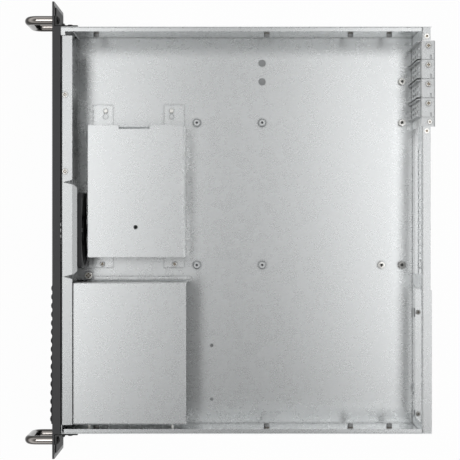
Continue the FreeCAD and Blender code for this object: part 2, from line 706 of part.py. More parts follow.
fan_size = body_height - s.fan_low - s.fan_under
fan_x = bay_left - s.fan_out - fan_size / 2
fan_z = s.fan_low + fan_size / 2
fan_bore = fan_size - s.fan_rim * 2
fan_reach = fan_size / 2 - s.fan_hole_in
fan_corners = [(fan_x + side * fan_reach, fan_z + rise * fan_reach)
               for side in (-1, 1) for rise in (-1, 1)]
strut_front = wall_back + s.fan_deep - s.strut_deep
notch_left = fan_x - fan_size / 2 - s.notch_left_out
notch_right = fan_x + fan_size / 2 + s.notch_right_out

slot_first = s.slot_in + s.slot_pitch * (s.slot_count - 1) - wall_inside
slot_places = [slot_first - s.slot_pitch * index for index in range(int(s.slot_count.number))]
shelf_top = body_height - s.shelf_drop
shelf_left = slot_places[-1] - s.shelf_left_out
shelf_right = slot_first + s.shelf_right_out
slot_screw_y = rear_outside + s.slot_screw_back
slot_screws = [(x - s.slot_screw_shift, slot_screw_y) for x in slot_places]
cover_nuts = [(shelf_left - s.nut_left_out, rear_edge - s.nut_back),
              (shelf_right + s.nut_right_out, rear_edge - s.nut_back)]
shelf_rivet = (shelf_right - s.shelf_rivet_in, rear_edge - s.shelf_rivet_back)
io_left = slot_first + s.io_out
io_high = s.io_low + s.io_tall
vent_low = io_high + s.vent_above
vent_tall = body_height - s.vent_under - vent_low

psu_right = wall_inside - s.psu_in
psu_left = psu_right - s.psu_wide
psu_high = body_height - s.psu_under
psu_hole_high = body_height - s.psu_hole_under
psu_foot = (psu_right - s.psu_foot_in, s.psu_foot_z)
psu_screws = [(psu_left - s.psu_hole_out, s.psu_hole_low), (psu_left - s.psu_hole_out, psu_hole_high),
              (psu_right + s.psu_hole_out, psu_hole_high), psu_foot]
first_foot_rivet = psu_left + s.rivet_in
foot_rivets = [(first_foot_rivet, rear_edge - s.rivet_back),
               (wall_inside - s.rivet_wall, rear_edge - s.rivet_back)]
reliefs = [x - s.relief_out for x, y in foot_rivets]

board_right = io_left + s.board_in
board_rear = rear_edge - s.board_y
board_columns = [board_right, board_right - s.board_wide]
board_wide_column = board_right - s.board_wide - s.board_extra
tall_posts = [(board_right, board_rear - s.board_step), (board_columns[1], board_rear),
              (board_wide_column, board_rear)]
low_post = (board_right, board_rear)
domes = [(column, board_rear - s.board_long - step)
         for column in board_columns for step in (0, s.board_front)]
spare_holes = [(board_wide_column, board_rear - s.board_long),
               (board_wide_column - s.spare_pitch, board_rear - s.board_long)]
small_hole_right = wall_inside - s.small_hole_in
small_holes = [(small_hole_right - s.small_hole_pitch, bay_rear + s.small_hole_out),
               (small_hole_right, bay_rear + s.small_hole_out)]

rack_x = half_panel - s.rack_slot_in
rack_rows = [s.rack_slot_end, s.panel_height - s.rack_slot_end]
handle_x = half_panel - s.handle_in
handle_rows = [s.handle_end, s.panel_height - s.handle_end]
ear_rows = [s.ear_screw_end, s.panel_height - s.ear_screw_end]
ear_screw_y = panel_face + s.ear_screw_back
rail_places = [panel_face + s.insert_front, panel_face + s.insert_front + s.insert_front_pitch,
               rear_edge - s.insert_rear - s.insert_rear_pitch, rear_edge - s.insert_rear]

control_x = fan_x - fan_size / 2 - s.control_out - s.control_wide / 2
flange_screws = [(control_x - s.flange_screw_left, wall_face + s.flange_screw_in),
                 (control_x + s.flange_screw_right, wall_face + s.flange_screw_in)]
control_upright = wall_face + s.control_back
board_face = control_upright - s.board_sheet
switch_front = board_face - s.switch_deep
power_x = control_x + s.power_x
reset_x = control_x + s.reset_x
lamps = [control_x + s.lamp_x, control_x + s.lamp_x + s.lamp_pitch]
usb_places = [control_x + s.usb_x, control_x + s.usb_x + s.usb_pitch]


# ---------------------------------------------------------------------------------------------
# Case body
# ---------------------------------------------------------------------------------------------

def base_pan():
    """Floor and side walls folded from one sheet, open at the front and the rear."""
    pan = Piece("base_pan")
    lip = half_body - s.side_flange
    top = body_height
    section = pan.draw("XZ", pan_front)
    section.polygon([(-half_body, 0), (half_body, 0), (half_body, top), (lip, top),
                     (lip, flange_under), (wall_inside, flange_under), (wall_inside, s.sheet),
                     (-wall_inside, s.sheet), (-wall_inside, flange_under), (-lip, flange_under),
                     (-lip, top), (-half_body, top)])
    pan.pad(section, rear_edge - pan_front)
    pan.fillet(s.bend, lambda middle, way: along(way, "y") and near(abs(middle.x), half_body))

    rear_ends = pan.draw("XY", flange_under)
    for side in (-1, 1):
        rear_ends.box(wall_inside * side, rear_inside, (lip - s.sheet) * side, rear_edge)
    pan.cut(rear_ends, s.sheet)
    tab = pan.draw("XY", flange_under)
    tab.box(-lip - s.sheet, pan_front, -lip + s.corner_tab, pan_front + s.corner_tab_deep)
    pan.pad(tab, s.sheet)
    corner = pan.draw("XY", body_height - s.corner_cut_deep)
    corner.box(lip, pan_front, half_body, wall_face + s.corner_cut)
    pan.cut(corner, s.corner_cut_deep)

    for x, y in domes:
        press_dome(pan, x, y)

    floor_holes = pan.draw("XY")
    for x, y in cage_screws + [tongue_screw]:
        floor_holes.circle(x, y, s.floor_screw + s.screw_play * 2)
    for x, y in keyhole_pins:
        floor_holes.circle(x, y, s.pin_neck + s.screw_play * 2)
    for x, y in tall_posts + [low_post]:
        floor_holes.circle(x, y, s.post_shank + s.screw_play * 2)
    for x, y in spare_holes:
        floor_holes.circle(x, y, s.spare_hole)
    for x, y in small_holes:
        floor_holes.circle(x, y, s.small_hole)
    for x, y in foot_rivets:
        floor_holes.circle(x, y, s.rivet + s.screw_play * 2)
    for left in reliefs:
        floor_holes.box(left, rear_inside - s.sheet, left + s.relief_long, rear_outside + s.sheet * 2)
    pan.cut(floor_holes, s.sheet)

    for side in (-1, 1):
        start = -half_body if side < 0 else wall_inside
        wall_holes = pan.draw("YZ", start)
        for y in rail_places:
            wall_holes.circle(y, s.insert_z, s.insert_shank + s.screw_play * 2)
        for z in ear_rows:
            wall_holes.circle(ear_screw_y, z, s.ear_screw + s.screw_play * 2)
        if side > 0:
            for y in bay_studs:
                wall_holes.circle(y, stud_z, s.stud_head + s.screw_play * 2)
        else:
            wall_holes.circle(cage_rear + s.wall_hole_back, s.wall_hole_z, s.wall_hole)
        pan.cut(wall_holes, s.sheet)
    return pan


def press_dome(pan, x, y):
    """A hollow dome pressed up from the floor, with a threaded hole in its crown."""
    base = s.dome_base / 2
    crown = s.dome_crown / 2
    top = s.sheet + s.post_tall
    opening = pan.draw("XY")
    opening.circle(x, y, s.dome_base - s.sheet)
    pan.cut(opening, s.sheet)
    wall = pan.draw("XZ", y)
    wall.polygon([(x + base - s.sheet, 0), (x + base, 0), (x + base, s.sheet), (x + crown, top),
                  (x + s.post_thread / 2, top), (x + s.post_thread / 2, top - s.sheet),
                  (x + crown - s.sheet, top - s.sheet)])
    wall.axis(x)
    pan.turn(wall)


def front_wall():
    """Inner front wall with folded flanges; the top one is split by two notches."""
    wall = Piece("front_wall")
    edge = wall_inside - s.seam
    half = wall_inside - s.front_flange_in
    shoulder = flange_under - s.seam
    plate = wall.draw("XZ", wall_face)
    plate.polygon([(-edge, s.sheet), (edge, s.sheet), (edge, shoulder), (half, shoulder),
                   (half, body_height), (-half, body_height), (-half, shoulder),
                   (-edge, shoulder)])
    wall.pad(plate, s.sheet)

    top = wall.draw("XY", flange_under)
    back = wall_face + s.front_flange
    tip = wall_face + s.notch_tip
    mouth = s.notch_wide / 2
    top.polygon([(-half, wall_face), (half, wall_face), (half, back),
                 (notch_right + mouth, back), (notch_right, tip), (notch_right - mouth, back),
                 (notch_left + mouth, back), (notch_left, tip), (notch_left - mouth, back),
                 (-half, back)])
    wall.pad(top, s.sheet)

    visor = wall.draw("YZ", notch_left + mouth)
    visor.polygon([(back, flange_under), (back + s.visor_reach, flange_under - s.visor_drop),
                   (back + s.visor_reach, flange_under - s.visor_drop + s.sheet * 1.2),
                   (back, body_height)])
    wall.pad(visor, notch_right - notch_left - mouth * 2)
    visor_end = back + s.visor_reach
    corners = wall.draw("XY", flange_under - s.visor_drop)
    for x, way in ((notch_left + mouth, 1), (notch_right - mouth, -1)):
        corners.polygon([(x, visor_end), (x + s.visor_corner * way, visor_end),
                         (x, visor_end - s.visor_corner)])
    wall.cut(corners, s.visor_drop + s.sheet)

    foot = wall.draw("XY", s.sheet)
    foot_back = wall_face + s.foot_deep
    tongue_back = wall_face + s.tongue_deep
    left = tongue_x - s.tongue_wide / 2
    right = tongue_x + s.tongue_wide / 2
    foot.polygon([(-edge, wall_face), (edge, wall_face), (edge, foot_back), (right, foot_back),
                  (right, tongue_back), (left, tongue_back), (left, foot_back), (-edge, foot_back)])
    wall.pad(foot, s.sheet)

    returns = wall.draw("XY", s.sheet * 4)
    hem_back = wall_face + s.return_deep
    for side in (-1, 1):
        returns.polygon([(edge * side, wall_face), (edge * side, hem_back),
                         ((edge - s.return_hem) * side, hem_back),
                         ((edge - s.return_hem) * side, hem_back - s.sheet),
                         ((edge - s.sheet) * side, hem_back - s.sheet),
                         ((edge - s.sheet) * side, wall_face)])
    wall.pad(returns, flange_under - s.sheet * 5)
    wall.fillet(s.bend, lambda middle, way: along(way, "x") and near(middle.y, wall_face)
                and near(middle.z, body_height))

    openings = wall.draw("XZ", wall_face)
    openings.circle(fan_x, fan_z, fan_bore)
    for x, z in fan_corners:
        openings.circle(x, z, s.fan_screw + s.screw_play * 2)
    bay_mouth = cover_wide / 2 + s.cover_gap
    openings.box(bay_middle - bay_mouth, s.sheet * 3, bay_middle + bay_mouth, flange_under - s.sheet)
    for x, wide in ((power_x, s.power_wide), (reset_x, s.reset_wide)):
        openings.circle(x, s.control_z, wide + (s.button_flange + s.button_play) * 2)
    for x in lamps:
        openings.circle(x, s.control_z, s.lamp_wide + s.seam * 2)
    for x in usb_places:
        openings.box(x - s.usb_wide / 2 - s.seam, s.control_z - s.usb_tall / 2 - s.seam,
                     x + s.usb_wide / 2 + s.seam, s.control_z + s.usb_tall / 2 + s.seam)
    wall.cut(openings, s.sheet)
    wall.repeat(wall.cut(intake_slot(wall, wall_face), s.sheet), "X", s.intake_pitch, s.intake_count)

    screws = wall.draw("XY", flange_under)
    for x, y in flange_screws:
        screws.circle(x, y, s.flange_screw + s.screw_play * 2)
    wall.cut(screws, s.sheet)
    tongue_hole = wall.draw("XY", s.sheet)
    tongue_hole.circle(tongue_screw[0], tongue_screw[1], s.floor_screw + s.screw_play * 2)
    wall.cut(tongue_hole, s.sheet)
    for start in (-edge, edge - s.sheet):
        holes = wall.draw("YZ", start)
        for z in ear_rows:
            holes.circle(ear_screw_y, z, s.ear_screw + s.screw_play * 2)
        wall.cut(holes, s.sheet)
    return wall


def intake_slot(piece, at):
    outline = piece.draw("XZ", at)
    outline.obround(s.intake_in - wall_inside, middle_z, s.intake_tall, s.intake_wide, upright=True)
    return outline


def rear_wall():
    """Recessed rear wall with outward flanges, connector, slot, vent and power windows."""
    wall = Piece("rear_wall")
    edge = wall_inside - s.seam
    profile = wall.draw("YZ", -edge)
    profile.polygon([(rear_inside, s.sheet), (rear_edge, s.sheet), (rear_edge, s.sheet * 2),
                     (rear_outside, s.sheet * 2), (rear_outside, flange_under),
                     (rear_edge, flange_under), (rear_edge, body_height),
                     (rear_inside, body_height)])
    wall.pad(profile, edge * 2)
    wall.fillet(s.bend, lambda middle, way: along(way, "x") and near(middle.y, rear_inside))

    shelf_gap = wall.draw("XZ", rear_inside)
    shelf_gap.box(shelf_left - s.seam, shelf_top - s.sheet, shelf_right + s.seam, body_height)
    wall.cut(shelf_gap, rear_edge - rear_inside)
    short_flange = wall.draw("XY", flange_under)
    short_flange.box(-edge, rear_edge - s.rear_flange_cut, psu_left, rear_edge)
    wall.cut(short_flange, s.sheet)

    windows = wall.draw("XZ", rear_inside)
    windows.box(io_left, s.io_low, io_left + s.io_wide, io_high)
    for x in slot_places:
        windows.box(x - s.slot_wide / 2, s.slot_low, x + s.slot_wide / 2, shelf_top - s.slot_under)
    power_window(windows)
    wall.cut(windows, s.sheet)
    power_holes = wall.draw("XZ", rear_inside)
    for x, z in psu_screws:
        power_holes.circle(x, z, s.psu_hole)
    wall.cut(power_holes, s.sheet)

    vent = wall.draw("XZ", rear_inside)
    vent.obround(io_left + s.vent_in, vent_low + vent_tall / 2, vent_tall, s.vent_wide, upright=True)
    wall.repeat(wall.cut(vent, s.sheet), "X", s.vent_pitch, s.vent_count)

    relief = wall.draw("XY", s.sheet)
    for left in reliefs:
        relief.box(left, rear_inside, left + s.relief_long, rear_outside + s.sheet * 2)
    wall.cut(relief, s.sheet * 2)
    holes = wall.draw("XY", s.sheet)
    for x, y in foot_rivets:
        holes.circle(x, y, s.rivet + s.screw_play * 2)
    wall.cut(holes, s.sheet)
    nut_holes = wall.draw("XY", flange_under)
    for x, y in cover_nuts:
        nut_holes.circle(x, y, s.nut_shank + s.screw_play * 2)
    wall.cut(nut_holes, s.sheet)
    return wall


def power_window(outline):
    """The power supply window, stepped inwards round its four screw lugs."""
    low = s.psu_low
    lug = s.psu_lug
    slope = s.psu_lug_slope
    flat = lug - slope
    foot_x, foot_z = psu_foot
    upper = psu_hole_high - lug
    side = s.psu_hole_low
    side_right = psu_right + s.psu_side
    outline.polygon([(psu_left, low), (foot_x - lug, low), (foot_x - flat, foot_z + lug),
                     (foot_x + flat, foot_z + lug), (foot_x + lug, low), (side_right, low),
                     (side_right, upper), (psu_right - lug, upper + slope),
                     (psu_right - lug, psu_high), (psu_left + lug, psu_high),
                     (psu_left + lug, upper + slope), (psu_left, upper), (psu_left, side + lug),
                     (psu_left + slope, side + flat), (psu_left + slope, side - flat),
                     (psu_left, side - lug)])


def slot_shelf():
    """Lowered shelf behind the rear wall that carries the slot covers' tabs."""
    shelf = Piece("slot_shelf")
    back = rear_edge + s.shelf_reach
    low = shelf_top - s.sheet
    profile = shelf.draw("YZ", shelf_left)
    profile.polygon([(rear_inside, low), (back - s.sheet, low), (back - s.sheet, shelf_top - s.shelf_lip),
                     (back, shelf_top - s.shelf_lip), (back, shelf_top), (rear_inside, shelf_top)])
    shelf.pad(profile, shelf_right - shelf_left)
    shelf.fillet(s.bend, lambda middle, way: along(way, "x") and near(middle.y, back)
                 and near(middle.z, shelf_top))
    holes = shelf.draw("XY", low)
    for x, y in slot_screws:
        holes.circle(x, y, s.slot_screw + s.screw_play * 2)
    holes.circle(shelf_rivet[0], shelf_rivet[1], s.rivet + s.screw_play * 2)
    shelf.cut(holes, s.sheet)
    return shelf


def slot_cover(number, x):
    """Low-profile slot cover: vented blade with folded edges and a notched tab."""
    cover = Piece(f"slot_cover_{number}")
    front = rear_inside - s.sheet
    half = s.blade_wide / 2
    tab_back = rear_outside + s.tab_reach
    section = cover.draw("XY", s.blade_low)
    section.polygon([(x - half, rear_inside), (x - half, front - s.blade_fold),
                     (x - half + s.sheet, front - s.blade_fold), (x - half + s.sheet, front),
                     (x + half - s.sheet, front), (x + half - s.sheet, front - s.blade_fold),
                     (x + half, front - s.blade_fold), (x + half, rear_inside)])
    cover.pad(section, shelf_top - s.sheet - s.blade_low)
    blade_top = cover.draw("XY", shelf_top - s.sheet)
    blade_top.box(x - half, front, x + half, rear_inside)
    cover.pad(blade_top, s.sheet * 2)
    tab = cover.draw("XY", shelf_top)
    tab_left = x - s.tab_wide / 2
    tab_right = x + s.tab_wide / 2
    notch_start = slot_screw_y + s.tab_notch
    tab.polygon([(x - half, front), (x + half, front), (x + half, rear_outside),
                 (tab_right, rear_outside), (tab_right, notch_start),
                 (tab_right - s.tab_notch_long, notch_start),
                 (tab_right - s.tab_notch_long, notch_start + s.tab_notch),
                 (tab_right, notch_start + s.tab_notch), (tab_right, tab_back), (tab_left, tab_back),
                 (tab_left, rear_outside), (x - half, rear_outside)])
    cover.pad(tab, s.sheet)
    cover.fillet(s.bend, lambda middle, way: along(way, "x") and near(middle.y, front)
                 and near(middle.z, shelf_top + s.sheet))
    holes = cover.draw("XY", shelf_top)
    holes.circle(x - s.slot_screw_shift, slot_screw_y, s.slot_screw + s.screw_play * 2)
    cover.cut(holes, s.sheet)
    vent_long = (shelf_top - s.blade_low - s.blade_vent_end * 2
                 - s.blade_vent_gap * (s.blade_vent_rows - 1)) / s.blade_vent_rows
    vents = cover.draw("XZ", front)
    for side in (-1, 1):
        vents.obround(x + side * s.blade_vent, s.blade_low + s.blade_vent_end + vent_long / 2,
                      vent_long, s.blade_vent, upright=True)
    cover.repeat(cover.cut(vents, s.sheet), "Z", vent_long + s.blade_vent_gap, s.blade_vent_rows)
    return cover


# ---------------------------------------------------------------------------------------------
# Front
# ---------------------------------------------------------------------------------------------

def front_panel():
    """Black front plate with both rack ears, folded lips and every opening in the face."""
    panel = Piece("front_panel")
    plate = panel.draw("XZ", panel_face)
    plate.box(-half_panel, 0, half_panel, s.panel_height)
    panel.pad(plate, s.panel_sheet)
    panel.fillet(s.panel_corner, lambda middle, way: along(way, "y") and near(abs(middle.x), half_panel))
    lips = panel.draw("YZ", -half_body)
    for low in (as_size(0), s.panel_height - s.panel_sheet):
        lips.box(panel_face + s.panel_sheet / 2, low, panel_face + s.panel_lip, low + s.panel_sheet)
    panel.pad(lips, half_body * 2)

    rack = panel.draw("XZ", panel_face)
    for side in (-1, 1):
        for z in rack_rows:
            rack.obround(rack_x * side, z, s.rack_slot_long, s.rack_slot_tall)
        for z in handle_rows:
            rack.circle(handle_x * side, z, s.handle_screw + s.screw_play * 2)
    panel.cut(rack, s.panel_sheet)

    face = panel.draw("XZ", panel_face)
    cover_half = cover_wide / 2 + s.cover_gap
    face.box(bay_middle - cover_half, s.panel_sheet, bay_middle + cover_half,
             s.panel_height - s.panel_sheet)
    face.circle(power_x, s.control_z, s.power_wide + s.button_play * 2)
    face.circle(reset_x, s.control_z, s.reset_wide + s.button_play * 2)
    for x in lamps:
        face.circle(x, s.control_z, s.lamp_wide + s.screw_play)
    for x in usb_places:
        face.box(x - s.usb_wide / 2 - s.seam, s.control_z - s.usb_tall / 2 - s.seam,
                 x + s.usb_wide / 2 + s.seam, s.control_z + s.usb_tall / 2 + s.seam)
    panel.cut(face, s.panel_sheet)

    steps = int(s.grille_count.number) // 2
    for index in range(-steps, steps + 1):
        across = abs(index) / (steps + 0.6)
        half_tall = fan_bore * (0.5 * math.sqrt(1 - across * across)) - s.grille_wide
        grille = panel.draw("XZ", panel_face)
        for rise in (-1, 1):
            grille.obround(fan_x + s.grille_pitch * index,
                           fan_z + rise * (s.grille_web + half_tall) / 2,
                           half_tall - s.grille_web, s.grille_wide, upright=True)
        panel.cut(grille, s.panel_sheet)
    intake = panel.cut(intake_slot(panel, panel_face), s.panel_sheet)
    panel.repeat(intake, "X", s.intake_pitch, s.intake_count)
    return panel


def ear_bracket(name, side):
    """Black angle that ties an ear to the side wall, cut back beside the rack slots."""
    bracket = Piece(name)
    face = panel_back
    low = s.bracket_margin
    high = s.panel_height - s.bracket_margin
    angle = bracket.draw("XY", low)
    back = panel_face + s.bracket_reach + s.panel_sheet
    angle.polygon([(half_body * side, face), ((half_body + s.bracket_wing) * side, face),
                   ((half_body + s.bracket_wing) * side, face + s.bracket_sheet),
                   ((half_body + s.bracket_sheet) * side, face + s.bracket_sheet),
                   ((half_body + s.bracket_sheet) * side, back), (half_body * side, back)])
    bracket.pad(angle, high - low)
    bracket.fillet(s.bend, lambda middle, way: along(way, "z") and near(middle.y, face)
                   and near(abs(middle.x), half_body))
    clear = bracket.draw("XZ", face)
    inner = (half_body + s.bracket_step) * side
    outer = (half_body + s.bracket_wing) * side
    reach = s.rack_slot_tall / 2 + s.bracket_clear
    clear.box(inner, low, outer, rack_rows[0] + reach)
    clear.box(inner, rack_rows[1] - reach, outer, high)
    bracket.cut(clear, s.bracket_sheet)
    screws = bracket.draw("XZ", face)
    for z in handle_rows:
        screws.circle(handle_x * side, z, s.handle_screw + s.screw_play * 2)
    bracket.cut(screws, s.bracket_sheet)
    sides = bracket.draw("YZ", half_body if side > 0 else -half_body - s.bracket_sheet)
    for z in ear_rows:
        sides.circle(ear_screw_y, z, s.ear_screw + s.screw_play * 2)
    bracket.cut(sides, s.bracket_sheet)
    return bracket


def handle(name, side):
    """Round bar bent to a U, swept along its centre line, bored for its two screws."""
    grip = Piece(name)
    x = handle_x * side
    front = panel_face - s.handle_reach + s.handle_bar / 2
    low, high = handle_rows
    bend = s.handle_bend
    path = grip.draw("YZ", x)
    knees = [(front + bend, low), (front, low + bend), (front, high - bend), (front + bend, high)]
    ends = [(panel_face, low)] + knees + [(panel_face, high)]
    spots = [Vector(as_size(y).number, as_size(z).number, 0) for y, z in ends]
    sketch = path.sketch
    for start in (0, 2, 4):
        sketch.addGeometry(Part.LineSegment(spots[start], spots[start + 1]), False)
    lift = bend.number
    axis = Vector(0, 0, 1)
    lower = Part.Circle(Vector(spots[1].x, spots[1].y + lift, 0), axis, lift)
    upper = Part.Circle(Vector(spots[4].x, spots[4].y - lift, 0), axis, lift)
    sketch.addGeometry(Part.ArcOfCircle(lower, math.pi, math.pi * 1.5), False)
    sketch.addGeometry(Part.ArcOfCircle(upper, math.pi * 0.5, math.pi), False)
    for arc, arc_end, line, line_end in ((3, 2, 0, 2), (3, 1, 1, 1), (4, 2, 1, 2), (4, 1, 2, 1)):
        sketch.addConstraint(Sketcher.Constraint("Coincident", arc, arc_end, line, line_end))
    for line in range(3):
        for point in (1, 2):
            y, z = ends[line * 2 + point - 1]
            path.fix("DistanceX", line, point, y)
            path.fix("DistanceY", line, point, z)
    path.measure("Radius", 3, bend)
    path.measure("Radius", 4, bend)
    ring = grip.draw("XZ", panel_face)
    ring.circle(x, low, s.handle_bar)
    before = grip.volume()
    pipe = grip.feature("AdditivePipe", "bar")
    pipe.Profile = ring.sketch
    pipe.Spine = (sketch, [f"Edge{index}" for index in range(1, 6)])
    grip.done(pipe, before, True)
    bores = grip.draw("XZ", panel_face - s.handle_screw_depth)
    for z in handle_rows:
        bores.circle(x, z, s.handle_screw + s.screw_play * 2)
    grip.cut(bores, s.handle_screw_depth)
    return grip


def bay_cover(name, low, tilt):
    """Moulded bay cover: plate with upright ribs and two side arms into the bay."""
    cover = Piece(name)
    left = bay_middle - cover_wide / 2
    plate = cover.draw("XZ")
    plate.box(0, 0, cover_wide, cover_tall)
    cover.pad(plate, s.cover_sheet)
    arms = cover.draw("XY", s.cover_arm_low)
    for start in (s.cover_arm_in, cover_wide - s.cover_arm - s.cover_arm_in):
        arms.box(start, s.cover_sheet / 2, start + s.cover_arm, s.cover_skirt)
    cover.pad(arms, s.cover_arm_tall)
    rib = cover.draw("XY", s.rib_margin)
    rib.hump(s.rib_end + s.rib_wide / 2, as_size(0), s.rib_wide, s.rib_out)
    cover.repeat(cover.pad(rib, cover_tall - s.rib_margin * 2), "X", rib_pitch, s.rib_count,
                 adds=True)
    bind(cover.body, "Placement.Base.x", left)
    bind(cover.body, "Placement.Base.y", panel_face)
    bind(cover.body, "Placement.Base.z", low)
    cover.body.Placement.Rotation = FreeCAD.Rotation(Vector(0, 0, 1), -tilt.number)
    return cover


# ---------------------------------------------------------------------------------------------
# Fan
# ---------------------------------------------------------------------------------------------

def fan_frame():
    """Square fan frame: duct between two end plates, hub carried on four struts."""
    frame = Piece("fan_frame")
    half = fan_size / 2
    front = wall_back
    rear = wall_back + s.fan_deep
    for at in (front, rear - s.fan_flange):
        plate = frame.draw("XZ", at)
        plate.box(fan_x - half, fan_z - half, fan_x + half, fan_z + half)
        frame.pad(plate, s.fan_flange)
        if at is front:
            duct = frame.draw("XZ", front)
            duct.circle(fan_x, fan_z, fan_bore + s.fan_wall * 2)
            frame.pad(duct, s.fan_deep)
    frame.fillet(s.fan_corner, lambda middle, way: along(way, "y")
                 and near(abs(middle.x - fan_x.number), half)
                 and near(abs(middle.z - fan_z.number), half))
    bore = frame.draw("XZ", front)
    bore.circle(fan_x, fan_z, fan_bore)
    frame.cut(bore, s.fan_deep)
    struts = frame.draw("XZ", strut_front)
    reach = fan_bore / 2 + s.strut_bite
    struts.box(fan_x - reach, fan_z - s.strut_wide / 2, fan_x + reach, fan_z + s.strut_wide / 2)
    frame.pad(struts, s.strut_deep)
    upright = frame.draw("XZ", strut_front)
    upright.box(fan_x - s.strut_wide / 2, fan_z - reach, fan_x + s.strut_wide / 2, fan_z + reach)
    frame.pad(upright, s.strut_deep)
    hub = frame.draw("XZ", strut_front)
    hub.circle(fan_x, fan_z, s.hub_wide)
    frame.pad(hub, s.strut_deep)
    sleeve = frame.draw("XZ", strut_front - s.hub_deep / 2)
    sleeve.circle(fan_x, fan_z, s.sleeve_wide)
    frame.pad(sleeve, s.hub_deep / 2)
    bearing = frame.draw("XZ", strut_front - s.hub_deep / 2)
    bearing.circle(fan_x, fan_z, s.shaft + s.shaft_play * 2)
    frame.cut(bearing, s.hub_deep / 2 + s.strut_deep)
    holes = frame.draw("XZ", front)
    for x, z in fan_corners:
        holes.circle(x, z, s.fan_screw + s.screw_play * 2)
    frame.cut(holes, s.fan_deep)
    return frame


def fan_rotor():
    """Rotor: cup-shaped hub on its shaft with seven twisted, swept blades."""
    centre = Vector(fan_x.number, 0, fan_z.number)
    hub_rear = (strut_front - s.hub_gap).number
    hub_front = hub_rear - s.hub_deep.number
    hub_radius = s.hub_wide.number / 2
    thick = s.blade_thick.number
    rearwards = Vector(0, 1, 0)

    def rod(radius, start, end):
        base = centre + Vector(0, start, 0)
        return Part.makeCylinder(radius, end - start, base, rearwards)

    shell = rod(hub_radius, hub_front, hub_rear)
    shell = shell.cut(rod(hub_radius - thick, hub_front + thick, hub_rear))
    shaft_end = (strut_front + s.strut_deep - s.shaft_short).number
    solid = shell.fuse(rod(s.shaft.number / 2, hub_front, shaft_end))

    tip_radius = (fan_bore / 2 - s.blade_tip_gap).number
    root_radius = hub_radius - thick
    middle = (hub_front + hub_rear) / 2
    root_turn, tip_turn = s.blade_root_turn.number, s.blade_tip_turn.number
    root_chord = s.blade_deep.number / math.sin(math.radians(root_turn))
    stations = 5
    sections = []
    for index in range(stations):
        share = index / (stations - 1)
        radius = root_radius + (tip_radius + thick - root_radius) * share
        turn = math.radians(root_turn + (tip_turn - root_turn) * share)
        chord = root_chord * (1 + s.blade_growth.number * share)
        lean = s.blade_lean.number * share * share
        outline = []
        for place, offset in ((-0.5, 0.0), (-0.25, -0.5), (0.25, -0.5), (0.5, 0.0),
                              (0.25, 1.0), (0.0, 1.2), (-0.25, 1.0)):
            camber = chord * s.blade_camber.number * (1 - 4 * place * place)
            along_chord = chord * place
            across_chord = thick / 2 * offset + camber
            run = along_chord * math.cos(turn) - across_chord * math.sin(turn)
            rise = along_chord * math.sin(turn) + across_chord * math.cos(turn)
            outline.append(Vector(centre.x + lean + run, middle + rise, centre.z + radius))
        sections.append(Part.makePolygon(outline + outline[:1]))
    blade = Part.makeLoft(sections, True, False)
    blades = int(s.blade_count.number)
    for index in range(blades):
        copy = blade.copy()
        copy.rotate(centre, rearwards, 360.0 * index / blades)
        solid = solid.fuse(copy)
    solid = solid.common(rod(tip_radius, hub_front - s.blade_deep.number, shaft_end))
    rotor = doc.addObject("Part::Feature", "fan_rotor")
    rotor.Shape = solid
    return rotor


# ---------------------------------------------------------------------------------------------
# Drive cage and bay box
# ---------------------------------------------------------------------------------------------

